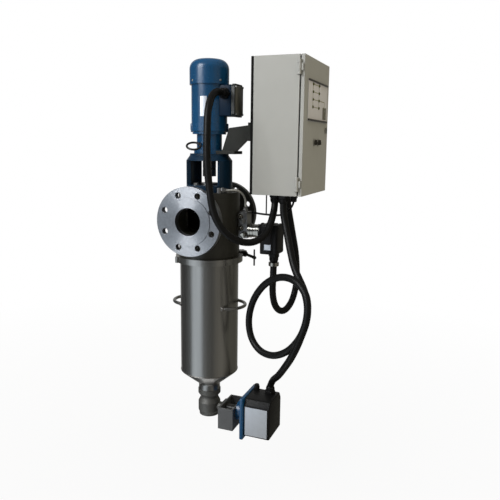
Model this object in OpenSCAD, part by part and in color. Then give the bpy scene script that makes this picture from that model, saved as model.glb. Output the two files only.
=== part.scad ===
// Self cleaning filter, line mounted, with gearmotor, control cabinet and actuated drain
// Millimetres. +Z is up, +Y is the flow direction, +X points to the cabinet.
// The frame's origin is the centre of the inlet flange's bolting face.

/* [Flanges] */
// Inlet or outlet face to the filter's vertical axis
face_to_axis = 144; // [130:1:170]
// Flange outside diameter, DN80 PN16
flange_d = 200; // [190:1:210]
// Flange thickness with its raised face
flange_t = 20; // [16:1:26]
// Bolt circle
flange_pcd = 160; // [150:1:166]
// Bolt hole diameter
flange_hole_d = 18; // [14:1:20]
// Bolt holes in a flange
flange_holes = 8; // [4:4:12]
// Raised face diameter
raised_d = 138; // [120:1:140]
// Raised face height
raised_t = 2; // [1:0.5:3]
// Nozzle neck outside diameter
neck_d = 88.9; // [86:0.1:92]
// Nozzle bore
nozzle_bore_d = 80; // [70:1:82]

/* [Head] */
// Head outside radius
head_r = 92.5; // [88:0.5:98]
// Head wall
head_wall = 6; // [4:0.5:8]
// Top of the head above the nozzle axis
head_top = 60; // [54:1:66]
// Bottom of the head below the nozzle axis
head_bottom = 124; // [116:1:132]
// Clamp ferrule radius beyond the head wall
ferrule_lip = 4.5; // [3:0.5:6]
// Clamp ferrule thickness
ferrule_t = 5; // [4:1:8]
// Slope of the inner partition
partition_tilt = 28; // [26:1:32]
// Top cover thickness
cover_t = 18; // [14:1:22]
// Cover bolts
cover_bolts = 8; // [6:1:10]

/* [Drive] */
// Scraper shaft radius
shaft_r = 8; // [7:0.5:10]
// Stuffing box radius
seal_r = 26; // [22:1:30]
// Stuffing box height
seal_h = 26; // [20:1:32]
// Lantern radius
lantern_r = 69; // [64:1:72]
// Lantern wall
lantern_wall = 12; // [8:1:16]
// Lantern foot thickness
lantern_foot_t = 20; // [14:1:24]
// Lantern height
lantern_h = 112; // [104:1:120]
// Radius of the lantern's top
lantern_top_r = 58; // [54:1:60]
// Half angle of a lantern leg
leg_half_angle = 40; // [34:1:46]
// Coupling radius
coupling_r = 20; // [18:1:24]
// Coupling hub length
hub_h = 20; // [18:1:24]
// Elastic spider thickness
spider_h = 6; // [4:1:8]
// Output shaft radius
output_r = 10; // [9:0.5:12]
// Gearbox neck radius
gearbox_r = 37.5; // [34:0.5:40]
// Gearbox height between lantern and motor
gearbox_h = 65; // [60:1:72]
// Gearbox flange radius
gearbox_flange_r = 46; // [43:1:47]
// Motor frame radius
motor_r = 53; // [50:1:56]
// Motor frame length
motor_h = 140; // [120:1:150]
// Motor shaft radius
motor_shaft_r = 7; // [6:0.5:9]
// Fan cowl radius
cowl_r = 58; // [56:1:60]
// Fan cowl height above the motor frame
cowl_h = 65; // [55:1:75]
// Fan cowl edge rounding
cowl_round = 28; // [20:1:30]
// Terminal box reach from the motor axis
terminal_reach = 84; // [76:1:90]
// Terminal box width
terminal_w = 60; // [50:1:70]
// Terminal box height
terminal_h = 88; // [76:1:94]
// Terminal lid thickness
terminal_lid_t = 12; // [6:1:14]

/* [Cabinet] */
// Cabinet back from the filter's axis
cabinet_x = 150; // [142:1:170]
// Cabinet near side from the filter's axis
cabinet_y = -28; // [-60:1:0]
// Cabinet bottom above the nozzle axis
cabinet_z = 76; // [70:1:90]
// Cabinet height
cabinet_h = 384; // [350:1:420]
// Cabinet width
cabinet_w = 270; // [260:1:320]
// Cabinet depth with the door
cabinet_d = 148; // [140:1:180]
// Cabinet sheet thickness
sheet_t = 2; // [1.5:0.5:3]
// Door depth
door_t = 10; // [9:1:15]
// Gap between the body and the door
door_gap = 4; // [1:0.5:5]
// Back plate thickness
back_plate_t = 8; // [6:1:10]
// Bracket plate thickness
bracket_t = 10; // [8:1:12]
// Hinge barrel radius
hinge_r = 4.5; // [4:0.5:6]
// Lock position from the free edge
lock_inset = 26; // [26:1:36]
// Lock position below the top
lock_drop = 196; // [180:1:210]

/* [Pressure switch] */
// Pressure switch axis across the flow
dp_y = 20; // [10:1:24]
// Pressure switch axis below the nozzle axis
dp_z = -37; // [-42:1:-34]
// Manifold length
manifold_l = 27; // [22:1:32]
// Pressure body radius
dp_r = 20; // [16:1:23]
// Pressure body length
dp_l = 39; // [34:1:45]
// Switch housing length
dp_box_l = 54; // [46:1:60]
// Switch housing width
dp_box_w = 64; // [56:1:80]
// Switch housing height
dp_box_h = 88; // [80:1:96]
// Impulse tube diameter
tube_d = 6; // [5:0.5:8]

/* [Shell] */
// Shell outside radius
shell_r = 90; // [86:0.5:92]
// Shell wall
shell_wall = 4; // [3:0.5:5]
// Body gasket thickness
gasket_t = 4; // [3:0.5:5]
// Straight shell length below the gasket
shell_l = 359; // [340:1:380]
// Cone height
cone_h = 51; // [44:1:58]
// Drain spigot radius
spigot_r = 34; // [30:1:36]
// Drain spigot length
spigot_l = 18; // [14:1:24]
// Handle reach from the axis
handle_reach = 122; // [114:1:126]
// Handle height below the gasket
handle_drop = 142; // [120:1:170]
// Handle rod radius
handle_rod_r = 5; // [4:0.5:6]
// Handle bend radius
handle_ring_r = 55; // [48:1:60]
// Clamp outside radius
clamp_r = 103; // [101:0.5:106]
// Angle of the clamp's bolt from +X
clamp_angle = 48; // [40:1:56]
// Clamp bolt radius
clamp_bolt_r = 4.5; // [4:0.5:5]
// Clamp bolt reach beyond its lug
clamp_bolt_l = 76; // [60:1:90]
// Tommy bar length
tommy_l = 50; // [40:1:70]

/* [Screen] */
// Screen inside radius
screen_r = 64; // [60:1:66]
// Screen wall
screen_wall = 3; // [2:0.5:4]
// Screen length
screen_l = 350; // [320:1:354]
// Slots around the screen
screen_slots = 24; // [16:4:32]
// Rows of slots
screen_rows = 6; // [4:1:8]
// Slot width
slot_w = 2.5; // [1:0.5:4]
// Levels of scraper arms
arm_levels = 4; // [2:1:5]
// Blade to screen clearance
blade_gap = 0.6; // [0.3:0.1:1.5]

/* [Drain] */
// Drain valve height
valve_h = 86; // [80:1:92]
// Valve end radius
valve_end_r = 36; // [35:0.5:38]
// Valve body radius
valve_body_r = 35.5; // [34:0.5:38]
// Ball radius
ball_r = 25; // [23:0.5:26]
// Valve bore radius
valve_bore_r = 17; // [14:0.5:18]
// Stem radius
stem_r = 6; // [5:0.5:7]
// Valve bracket inner face from the axis
vbracket_x = 54; // [50:1:58]
// Valve bracket width along the stem
vbracket_w = 50; // [44:1:54]
// Valve bracket depth
vbracket_d = 104; // [90:1:110]
// Valve bracket height
vbracket_h = 70; // [60:1:74]
// Actuator boss length
act_boss_l = 26; // [20:1:30]
// Actuator base thickness
act_base_t = 12; // [10:1:16]
// Actuator base width
act_base_w = 124; // [112:1:130]
// Actuator base height
act_base_h = 134; // [120:1:140]
// Actuator cover length
act_cover_l = 84; // [76:1:92]
// Actuator cover width
act_cover_w = 108; // [100:1:110]
// Actuator cover height
act_cover_h = 120; // [110:1:130]

/* [Clearances] */
// Clearance between parts that move past each other
move_gap = 0.3; // [0.2:0.1:0.6]
// Radial running clearance of shafts
run_gap = 0.05; // [0.02:0.01:0.1]
// Conduit outside diameter
conduit_d = 21; // [16:1:22]

/* [Hidden] */
$fn = 64;

blue = [0.03, 0.13, 0.42];
dark = [0.12, 0.12, 0.1];
steel = [0.7, 0.7, 0.72];
black = [0.05, 0.05, 0.05];
grey = [0.78, 0.79, 0.77];

// Everything below is drawn about the filter's own axis and moved to the frame's origin once
site = [0, face_to_axis - raised_t, 0];
eps = 1;
ferrule_r = head_r + ferrule_lip;
neck_end = face_to_axis - flange_t;
head_in_r = head_r - head_wall;
top_ring_r = 70;
top_ring_h = 16;
riser_r = screen_r - 2;
riser_wall = 4;
riser_bottom = -head_bottom + 16;

cover_top = head_top + cover_t;
cover_bolt_circle = (lantern_r + head_r) / 2 + 0.5;
cover_bolt_r = 5;
hex_r = 9;
hex_h = 7;
bush_wall = 4;
packing_wall = 6;
seal_lip = 4;

lantern_top = cover_top + lantern_h;
window_top = lantern_top - 20;
lantern_bore_r = 40;
foot_screw_circle = 48;

coupling_z = cover_top + seal_h + 19;
upper_hub_z = coupling_z + hub_h + spider_h;
output_z = upper_hub_z + 2;
motor_z = lantern_top + gearbox_h;
motor_top = motor_z + motor_h;
cowl_top = motor_top + cowl_h;
cowl_rim = 7;
cowl_wall = 3;
shield_t = 12;
gear_z = lantern_top + 25;
eye_angle = -110;
eye_turn = 46;
eye_tilt = 30;
eye_r = 20;
eye_wire = 3;
eye_out = gearbox_r + 26.5;
eye_foot = gearbox_r + 2;
eye_z = lantern_top + 22;
eye_stem_z = eye_r * sin(eye_tilt) * cos(eye_turn);
fan_z = motor_top + 8;
fan_h = 22;

terminal_z = motor_top - terminal_h - 9;
terminal_wall = 4;
motor_gland_x = 63;
motor_gland_z = terminal_z + 63;
motor_gland_l = 28;
gland_r = 16;
gland_l = 24;

cabinet_front = cabinet_x + cabinet_d;
door_back = cabinet_front - door_t;
body_front = door_back - door_gap;
cabinet_top = cabinet_z + cabinet_h;
cabinet_far = cabinet_y + cabinet_w;
lip_w = 12;
hinge_x = body_front + 1;
hinge_y = cabinet_y - 6;
hinge_h = 40;
hinge_inset = 34;
lock_r = 6;
cam_l = lock_inset - lip_w + 3;
panel_y0 = cabinet_y + 36;
panel_w = cabinet_w - 58;
panel_z0 = cabinet_top - 173;
panel_h = 113;
lamp_y = [cabinet_y + 81, cabinet_y + 147];
lamp_pitch = 21;
knob_y = [cabinet_y + 115, cabinet_y + 155];
knob_z = cabinet_top - 233;
knob_r = 8;
selector_r = 11;
selector_l = 3;
selector_neck_r = 9;
rail_z = [for (k = [0 : 2]) cabinet_z + cabinet_h * (0.16 + 0.27 * k)];
gland_spots = [[206.5, 12], [205, 140], [238, -6]];

pad_x = head_r + 3.5;
manifold_x = pad_x + manifold_l;
manifold_bottom = dp_z - dp_r - 2;
manifold_top = 20;
manifold_w = 36;
dp_box_x = manifold_x + dp_l;
dp_box_top = dp_z + 24;
dp_boss_r = 29;
dp_boss_l = 8;
dp_gland_x = dp_box_x + dp_boss_l + 34;
dp_gland_l = 26;
nut_h = 14;
tube_post = [58.7, -58.7];
tube_post_r = 7;
tube_post_h = 16;
tube_turn = 30;
tube_rise = cover_top + 9;
tube_reach = 6 + nut_h + move_gap;
tube_end = [114, dp_y - 10];

gasket_z = -head_bottom - gasket_t;
shell_bottom = gasket_z - shell_l;
cone_bottom = shell_bottom - cone_h;
spigot_bottom = cone_bottom - spigot_l;
handle_z = gasket_z - handle_drop;
clamp_lip = 2;
clamp_low = gasket_z - ferrule_t - clamp_lip;
clamp_high = -head_bottom + ferrule_t + clamp_lip;
clamp_mid = (clamp_low + clamp_high) / 2;
lug_t = 10;
lug_gap = 8;
lug_r = 113;
lug_w = 18;
lug_z = clamp_mid + 5;

screen_top = riser_bottom;
screen_bottom = screen_top - screen_l;
ring_h = 8;
slots_low = screen_bottom + ring_h;
slot_pitch = (screen_l - 2 * ring_h) / screen_rows;
spider_hub_r = shaft_r + bush_wall + 4;
blade_low = screen_bottom + 22;
blade_high = screen_top - 12;
blade_r = screen_r - blade_gap;
blade_w = 8;
arm_pitch = (blade_high - blade_low - 40) / (arm_levels - 1);

valve_top = spigot_bottom;
valve_bottom = valve_top - valve_h;
stem_z = valve_top - valve_h * 2 / 3;
seat_r = valve_bore_r + 5;
seat_h = 23;
pad_t = 6;
boss_x = vbracket_x - pad_t;
tang_x = ball_r - 4;
vbracket_top = stem_z + 20;
vbracket_wall = 5;
vbracket_end = vbracket_x + vbracket_w;
base_x = vbracket_end + act_boss_l;
act_cover_x = base_x + act_base_t;
act_end = act_cover_x + act_cover_l;
act_shaft_r = 8;
act_mid = stem_z + 4;
act_top = act_mid + act_cover_h / 2;
act_gland = [200, 24];
act_plug = [152, 32];
sleeve_r = 12;

// Route points of the hanging conduits, about the filter's own axis
motor_route = [[motor_gland_x, -terminal_w / 2 - motor_gland_l - move_gap, motor_gland_z],
    [motor_gland_x, -86, motor_gland_z - 1], [63, -118, 344], [64, -142, 306], [67, -154, 255],
    [69, -160, 200], [72, -162, 150], [77, -162, 104], [84, -162, 58], [95, -160, 20], [112, -152, -12],
    [132, -134, -36], [152, -110, -50], [172, -84, -54], [190, -60, -46], [202, -38, -26], [207, -17, 2],
    [207, 4, 30], [gland_spots[0][0], gland_spots[0][1], cabinet_z - gland_l - move_gap]];
dp_route = [[dp_gland_x, dp_y, dp_box_top - dp_box_h - dp_gland_l - move_gap],
    [203, 20, -175], [202, 22, -222],
    [205, 34, -262], [212, 60, -288], [221, 92, -294], [230, 124, -276], [236, 144, -240],
    [238, 151, -195], [233, 152, -125], [220, 148, -50], [208, 142, 20],
    [gland_spots[1][0], gland_spots[1][1], cabinet_z - gland_l - move_gap]];
// The actuator's conduit makes one full loose loop in a slanting upright plane
loop_mid = [251, -80];
loop_z = -266;
loop_r = 124;
loop_dir = [0.815, -0.426];
loop_side = [-0.366, 0.93];
loop_lean = [0.28, -0.11];
function loop_xy(a, off) = loop_mid + loop_r * (loop_dir * cos(a) + loop_lean * sin(a)) + loop_side * off;
function loop_at(a, off) = [loop_xy(a, off)[0], loop_xy(a, off)[1], loop_z + loop_r * sin(a)];
actuator_route = concat([[gland_spots[2][0], gland_spots[2][1], cabinet_z - gland_l - move_gap],
    [240, -7, 24], [247, -12, -4], [260, -27, -38], [277, -49, -78], [299, -74, -122]],
    [for (a = [45 : -30 : -315]) loop_at(a, 20 + (a - 30) * 0.1)],
    [[360, -154, -234], [343, -156, -296], [314, -132, -358], [277, -82, -416], [246, -40, -460],
    [215, 6, -497], [act_gland[0], act_gland[1], act_top + gland_l + move_gap]]);
impulse_route = [[tube_post[0] + tube_reach * cos(tube_turn),
    tube_post[1] + tube_reach * sin(tube_turn), tube_rise],
    [88, -41.8, tube_rise], [102, -30, tube_rise - 1], [112, -14, tube_rise - 10], [tube_end[0], 3, 62],
    [tube_end[0], tube_end[1], 48], [tube_end[0], tube_end[1], manifold_top + nut_h + move_gap]];

// Sweep of a round tube along a smooth curve through its route points
function smooth(p, i, t) = let (n = len(p) - 1, a = p[max(i - 1, 0)], b = p[i], c = p[i + 1])
    let (d = p[min(i + 2, n)], e = 2 * a - 5 * b + 4 * c - d, f = 3 * b - a - 3 * c + d)
    b + ((c - a) * t + e * t * t + f * t * t * t) / 2;
function curve(p, steps) = concat([p[0]],
    [for (i = [0 : len(p) - 2], k = [1 : steps]) smooth(p, i, k / steps)]);
function unit(v) = v / norm(v);
function heading(c, i) = unit(c[min(i + 1, len(c) - 1)] - c[max(i - 1, 0)]);
function side_of(t, s) = unit(s - t * (t * s));
function sides(t, i, s) = i == 0 ? [side_of(t[0], s)] :
    let (q = sides(t, i - 1, s)) concat(q, [side_of(t[i], q[i - 1])]);
function ring(p, t, s, r, n) = let (u = cross(t, s)) [for (k = [0 : n - 1])
    p + r * (cos(360 * k / n) * s + sin(360 * k / n) * u)];

module tube(route, d, n, steps, start, out, into) {
    c = curve(route, steps);
    m = len(c);
    t = [for (i = [0 : m - 1]) i == 0 ? out : i == m - 1 ? into : heading(c, i)];
    s = sides(t, m - 1, start);
    pts = [for (i = [0 : m - 1]) each ring(c[i], t[i], s[i], d / 2, n)];
    walls = [for (i = [0 : m - 2], k = [0 : n - 1], h = [0, 1]) h == 0 ?
        [i * n + k, i * n + (k + 1) % n, (i + 1) * n + k] :
        [i * n + (k + 1) % n, (i + 1) * n + (k + 1) % n, (i + 1) * n + k]];
    first = [for (k = [1 : n - 2]) [0, k + 1, k]];
    last = [for (k = [1 : n - 2]) [(m - 1) * n, (m - 1) * n + k, (m - 1) * n + k + 1]];
    polyhedron(points = pts, faces = [for (f = concat(walls, first, last)) [f[2], f[1], f[0]]]);
}

module between(z0, z1, r) {
    translate([0, 0, z0])
        cylinder(h = z1 - z0, r = r);
}

module ringed(z0, z1, r_out, r_in) {
    difference() {
        between(z0, z1, r_out);
        between(z0 - eps, z1 + eps, r_in);
    }
}

module along_x(x0, x1, r) {
    translate([x0, 0, 0])
        rotate([0, 90, 0])
            cylinder(h = x1 - x0, r = r);
}

module slab(x, y, z) {
    translate([x[0], y[0], z[0]])
        cube([x[1] - x[0], y[1] - y[0], z[1] - z[0]]);
}

module hex_screw(z, shank) {
    translate([0, 0, z])
        cylinder(h = hex_h, r = hex_r, $fn = 6);
    translate([0, 0, z - shank])
        cylinder(h = shank, r = cover_bolt_r - move_gap);
}

module around(count, r, first) {
    for (k = [0 : count - 1])
        rotate([0, 0, first + k * 360 / count])
            translate([r, 0, 0])
                children();
}

module at_foot_screws() for (a = [60, 120, 240, 300])
    rotate([0, 0, a])
        translate([foot_screw_circle, 0, 0])
            children();

module head_body() color(dark) difference() {
    union() {
        ringed(-head_bottom, head_top, head_r, head_in_r);
        ringed(head_top - top_ring_h, head_top, head_r, top_ring_r);
        ringed(-head_bottom, -head_bottom + ferrule_t, ferrule_r, head_in_r);
        for (way = [-1, 1])
            rotate([90 * way, 0, 0])
                ringed(head_in_r - 4, neck_end, neck_d / 2, nozzle_bore_d / 2);
        difference() {
            slab([head_in_r - 2, pad_x], [dp_y - manifold_w / 2, dp_y + manifold_w / 2],
                [manifold_bottom, 0]);
            between(manifold_bottom - eps, eps, head_in_r);
        }
        difference() {
            intersection() {
                between(-head_bottom, head_top, head_in_r + 1);
                rotate([partition_tilt, 0, 0])
                    slab([-head_r, head_r], [-2 * head_r, 2 * head_r], [-5, 0]);
            }
            between(-head_bottom, head_top, riser_r + 1);
        }
        difference() {
            ringed(riser_bottom, head_top - top_ring_h, riser_r + riser_wall, riser_r);
            rotate([partition_tilt, 0, 0])
                slab([-head_r, head_r], [-2 * head_r, 2 * head_r], [-1, 2 * head_r]);
        }
    }
    for (way = [-1, 1])
        rotate([90 * way, 0, 0])
            between(head_in_r - 6, face_to_axis, nozzle_bore_d / 2);
    around(cover_bolts, cover_bolt_circle, 22.5)
        between(head_top - 12, head_top + eps, cover_bolt_r);
}

module flange_plate() difference() {
    union() {
        between(neck_end, face_to_axis - raised_t, flange_d / 2);
        between(neck_end, face_to_axis, raised_d / 2);
    }
    between(neck_end - eps, face_to_axis + eps, nozzle_bore_d / 2);
    around(flange_holes, flange_pcd / 2, 180 / flange_holes)
        between(neck_end - eps, face_to_axis + eps, flange_hole_d / 2);
}

module inlet_flange() color(steel)
    rotate([90, 0, 0])
        flange_plate();

module outlet_flange() color(dark)
    rotate([-90, 0, 0])
        flange_plate();

module top_cover() color(dark) difference() {
    between(head_top, cover_top, head_r);
    between(head_top - eps, cover_top + eps, shaft_r + bush_wall);
    around(cover_bolts, cover_bolt_circle, 22.5)
        between(head_top - eps, cover_top + eps, cover_bolt_r);
    at_foot_screws()
        between(head_top + 4, cover_top + eps, cover_bolt_r);
}

module fasteners() color(steel) {
    around(cover_bolts, cover_bolt_circle, 22.5)
        hex_screw(cover_top, cover_t + 8);
    at_foot_screws()
        hex_screw(cover_top + lantern_foot_t, lantern_foot_t + cover_t - 8);
    for (y = [-1, 1], z = [-1, 1])
        translate([0, y * (terminal_w / 2 - 6), terminal_z + terminal_h / 2 + z * (terminal_h / 2 - 6)])
            along_x(terminal_reach + terminal_lid_t, terminal_reach + terminal_lid_t + 2.5, 3.5);
    around(4, cowl_r, 59)
        translate([0, 0, motor_top + 3])
            along_x(0, 2.5, 3.5);
}

module seal_housing() color(steel) difference() {
    between(cover_top, cover_top + seal_h, seal_r);
    between(cover_top - eps, cover_top + seal_h - seal_lip, shaft_r + packing_wall);
    between(cover_top, cover_top + seal_h + eps, shaft_r + 1);
}

module shaft_bearings() color([0.7, 0.5, 0.25]) {
    ringed(head_top, cover_top, shaft_r + bush_wall, shaft_r + run_gap);
    ringed(cover_top, cover_top + seal_h - seal_lip, shaft_r + packing_wall, shaft_r + run_gap);
    ringed(screen_bottom, screen_bottom + ring_h, shaft_r + bush_wall, shaft_r + run_gap);
}

module leg_cut() linear_extrude(height = window_top - cover_top - lantern_foot_t)
    for (side = [0, 180])
        polygon([[0, 0], for (a = [leg_half_angle, 90, 180 - leg_half_angle])
            2 * lantern_r * [cos(a + side), sin(a + side)]]);

module lantern() color(blue) difference() {
    union() {
        between(cover_top, lantern_top - 20, lantern_r);
        translate([0, 0, lantern_top - 20])
            cylinder(h = 15, r1 = lantern_r, r2 = lantern_top_r);
        between(lantern_top - 5, lantern_top, lantern_top_r);
    }
    between(cover_top - eps, cover_top + lantern_foot_t + eps, lantern_bore_r);
    between(cover_top + lantern_foot_t, window_top, lantern_r - lantern_wall);
    between(window_top - eps, lantern_top + eps, seal_r);
    translate([0, 0, cover_top + lantern_foot_t])
        leg_cut();
    at_foot_screws()
        between(cover_top - eps, cover_top + lantern_foot_t + eps, cover_bolt_r);
}

module gearbox_housing() color(blue) difference() {
    union() {
        between(lantern_top, lantern_top + 12, gearbox_flange_r);
        between(lantern_top, motor_z, gearbox_r);
        between(motor_z - 8, motor_z, motor_r - 3);
        rotate([0, 0, eye_angle])
            translate([0, 0, eye_z + eye_stem_z])
                along_x(0, eye_foot, 6);
    }
    between(lantern_top - eps, motor_z + eps, motor_shaft_r + run_gap);
    between(lantern_top - eps, lantern_top + 20, output_r + run_gap);
    between(lantern_top + 16, motor_z - 10, gearbox_r - 7);
}

module output_shaft() color(steel) {
    between(output_z, gear_z + 7, output_r);
    ringed(gear_z, gear_z + 7, gearbox_r - 10, output_r);
}

module coupling_hubs() color(steel) {
    difference() {
        between(coupling_z, coupling_z + hub_h, coupling_r);
        between(coupling_z - eps, coupling_z + hub_h - 2, shaft_r);
    }
    difference() {
        between(upper_hub_z, upper_hub_z + hub_h, coupling_r);
        between(output_z, upper_hub_z + hub_h + eps, output_r);
    }
}

module coupling_spider() color([0.15, 0.15, 0.15])
    ringed(coupling_z + hub_h, upper_hub_z, coupling_r - 0.5, shaft_r);

module motor_frame() color(blue) difference() {
    between(motor_z, motor_top, motor_r);
    between(motor_z + shield_t, motor_top - shield_t, motor_r - 7);
    between(motor_z - eps, motor_top + eps, motor_shaft_r + run_gap);
}

module motor_rotor() color(steel) {
    between(gear_z + 12, fan_z + fan_h, motor_shaft_r);
    ringed(motor_z + 40, motor_top - 40, motor_r - 33, motor_shaft_r);
}

module fan() color(black) {
    ringed(fan_z, fan_z + fan_h, motor_shaft_r + 7, motor_shaft_r);
    difference() {
        union() {
            between(fan_z, fan_z + 2.5, motor_r - 7);
            around(6, 0, 0)
                slab([motor_shaft_r + 3, motor_r - 8], [-1.5, 1.5], [fan_z + 1, fan_z + fan_h - 3]);
        }
        between(fan_z - eps, fan_z + fan_h + eps, motor_shaft_r + 7);
    }
}

module dome(r, z0, z1, round) translate([0, 0, z0])
    rotate_extrude() {
        square([r - round, z1 - z0]);
        square([r, z1 - z0 - round]);
        intersection() {
            translate([r - round, z1 - z0 - round])
                circle(round);
            square([r, z1 - z0]);
        }
    }

module fan_cowl() color(blue) difference() {
    dome(cowl_r, motor_top - cowl_rim, cowl_top, cowl_round);
    dome(cowl_r - cowl_wall, motor_top + 1, cowl_top - cowl_wall, cowl_round - cowl_wall);
    between(motor_top - cowl_rim - eps, motor_top + 2, motor_r);
    around(10, 0, 0)
        slab([10, cowl_r - cowl_round - 3], [-2, 2], [cowl_top - 2 * cowl_wall, cowl_top + eps]);
}

module terminal_box() color(blue) difference() {
    slab([motor_r / 2, terminal_reach], [-terminal_w / 2, terminal_w / 2],
        [terminal_z, terminal_z + terminal_h]);
    between(terminal_z - eps, terminal_z + terminal_h + eps, motor_r);
    slab([motor_r + 5, terminal_reach + eps],
        [-terminal_w / 2 + terminal_wall, terminal_w / 2 - terminal_wall],
        [terminal_z + terminal_wall, terminal_z + terminal_h - terminal_wall]);
}

module terminal_lid() color(blue) translate([terminal_reach, 0, terminal_z + terminal_h / 2])
    rotate([90, 0, 90])
        linear_extrude(height = terminal_lid_t) {
            w = terminal_w / 2 + 2;
            h = terminal_h / 2 + 2;
            c = 8;
            polygon([[-w + c, -h], [w - c, -h], [w, -h + c], [w, h - c], [w - c, h], [-w + c, h],
                [-w, h - c], [-w, -h + c]]);
        }

module blank_labels() color(steel) {
    intersection() {
        ringed(motor_z + 42, motor_z + 98, motor_r + 0.8, motor_r);
        slab([-4, 16], [-cowl_r, 0], [motor_z, motor_top]);
    }
    slab([dp_box_x + dp_boss_l + 14, dp_box_x + dp_boss_l + 34],
        [dp_y - dp_box_w / 2 - 0.8, dp_y - dp_box_w / 2], [dp_box_top - 74, dp_box_top - 58]);
    slab([act_cover_x + 4, act_end - 8], [-act_cover_w / 2 - 0.8, -act_cover_w / 2],
        [act_top - act_cover_h + 5, act_top - 23]);
}

module gland(l) {
    cylinder(h = 0.4 * l, r = gland_r + 1, $fn = 6);
    cylinder(h = l, r = gland_r - 3);
}

module conduit_glands() color(black) {
    for (spot = gland_spots)
        translate([spot[0], spot[1], cabinet_z])
            rotate([180, 0, 0])
                gland(gland_l);
    translate([motor_gland_x, -terminal_w / 2, motor_gland_z])
        rotate([90, 0, 0])
            gland(motor_gland_l);
    translate([dp_gland_x, dp_y, dp_box_top - dp_box_h])
        rotate([180, 0, 0])
            gland(dp_gland_l);
    translate([act_gland[0], act_gland[1], act_top])
        gland(gland_l);
    translate([act_plug[0], act_plug[1], act_top])
        cylinder(h = 18, r = 9);
}

module lifting_eye() color(black) rotate([0, 0, eye_angle]) translate([eye_out, 0, eye_z]) {
    rotate([0, eye_tilt, eye_turn])
        rotate_extrude()
            translate([eye_r, 0])
                circle(eye_wire);
    translate([-eye_out, 0, eye_stem_z])
        along_x(eye_foot + move_gap, eye_out - eye_r + 2, 4);
}

module bracket_arm() color([0.25, 0.25, 0.2]) {
    end_x = cabinet_x - back_plate_t;
    foot = lantern_top + 9;
    difference() {
        slab([28, 94], [-30, 30], [lantern_top, foot]);
        between(lantern_top - eps, foot + eps, gearbox_flange_r + move_gap);
    }
    translate([0, -bracket_t / 2, 0])
        rotate([90, 0, 0])
            linear_extrude(height = bracket_t)
                polygon([[48, foot], [70, lantern_top + 75], [end_x - 9, lantern_top + 83],
                    [end_x - 9, lantern_top + 46], [94, foot]]);
    slab([end_x - 9, end_x], [-24, 150], [lantern_top + 38, lantern_top + 90]);
}

module back_plate() color(black)
    slab([cabinet_x - back_plate_t, cabinet_x], [cabinet_y, cabinet_far], [cabinet_z, cabinet_top]);

module at_hinges() for (z = [cabinet_z + hinge_inset, cabinet_top - hinge_inset])
    translate([hinge_x, hinge_y, z])
        children();

module cabinet_body() color(grey) {
    difference() {
        slab([cabinet_x, body_front], [cabinet_y, cabinet_far], [cabinet_z, cabinet_top]);
        slab([cabinet_x + sheet_t, body_front - sheet_t], [cabinet_y + sheet_t, cabinet_far - sheet_t],
            [cabinet_z + sheet_t, cabinet_top - sheet_t]);
        slab([cabinet_x + 9, body_front + eps], [cabinet_y + lip_w, cabinet_far - lip_w],
            [cabinet_z + lip_w, cabinet_top - lip_w]);
    }
    at_hinges() {
        for (side = [-1, 1])
            translate([0, 0, side * hinge_h * 0.375])
                cylinder(h = hinge_h / 4, r = hinge_r, center = true);
        cylinder(h = hinge_h, r = hinge_r / 2 - move_gap, center = true);
        for (side = [-1, 1])
            translate([-8, 0, side * hinge_h * 0.375 - hinge_h / 8])
                cube([8, cabinet_y - hinge_y, hinge_h / 4]);
    }
}

module cabinet_door() color(grey) difference() {
    slab([door_back, cabinet_front], [cabinet_y, cabinet_far], [cabinet_z, cabinet_top]);
    slab([door_back - eps, cabinet_front - sheet_t - 1], [cabinet_y + sheet_t, cabinet_far - sheet_t],
        [cabinet_z + sheet_t, cabinet_top - sheet_t]);
    translate([0, cabinet_far - lock_inset, cabinet_top - lock_drop])
        along_x(door_back, cabinet_front + eps, lock_r);
    for (y = knob_y)
        translate([0, y, knob_z])
            along_x(door_back, cabinet_front + eps, selector_neck_r);
}

module door_seal() color(black) {
    inner = cabinet_front - sheet_t - 1;
    difference() {
        slab([body_front + move_gap, inner], [cabinet_y + 3, cabinet_far - 3],
            [cabinet_z + 3, cabinet_top - 3]);
        slab([body_front - eps, inner + eps], [cabinet_y + 11, cabinet_far - 11],
            [cabinet_z + 11, cabinet_top - 11]);
    }
}

module door_hinges() color(steel) at_hinges() {
    h = hinge_h / 2 - 2 * move_gap;
    difference() {
        union() {
            cylinder(h = h, r = hinge_r, center = true);
            translate([0, 0, -h / 2])
                cube([door_t, cabinet_y - hinge_y, h]);
        }
        cylinder(h = h + eps, r = hinge_r / 2, center = true);
        translate([-hinge_x + door_back - door_t, cabinet_y - hinge_y, -h])
            cube([door_t, door_t, 2 * h]);
    }
}

module door_lock() color(steel) translate([0, cabinet_far - lock_inset, cabinet_top - lock_drop]) {
    difference() {
        along_x(cabinet_front + move_gap, cabinet_front + 4, lock_r + 3);
        slab([cabinet_front + 2.5, cabinet_front + 5], [-1.5, 1.5], [-7, 7]);
    }
    along_x(body_front - 9, cabinet_front + move_gap, lock_r - move_gap);
    slab([body_front - 9, body_front - 5], [-5, 5], [-5, cam_l]);
}

module mimic_panel() color([0.85, 0.84, 0.82]) {
    slab([cabinet_front, cabinet_front + 2], [panel_y0, panel_y0 + panel_w], [panel_z0, panel_z0 + panel_h]);
    slab([cabinet_front + 2, cabinet_front + 4], [panel_y0 + panel_w * 0.75, panel_y0 + panel_w * 0.92],
        [panel_z0 + panel_h * 0.08, panel_z0 + panel_h * 0.39]);
    for (z = [panel_z0, panel_z0 + panel_h - 5])
        slab([cabinet_front + 2, cabinet_front + 5], [panel_y0, panel_y0 + panel_w], [z, z + 5]);
}

module indicator_lamps() color([0.2, 0.6, 0.2])
    for (y = lamp_y, k = [0 : 3])
        translate([0, y, panel_z0 + panel_h - 11 - k * lamp_pitch])
            along_x(cabinet_front + 2, cabinet_front + 5, 4);

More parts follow.
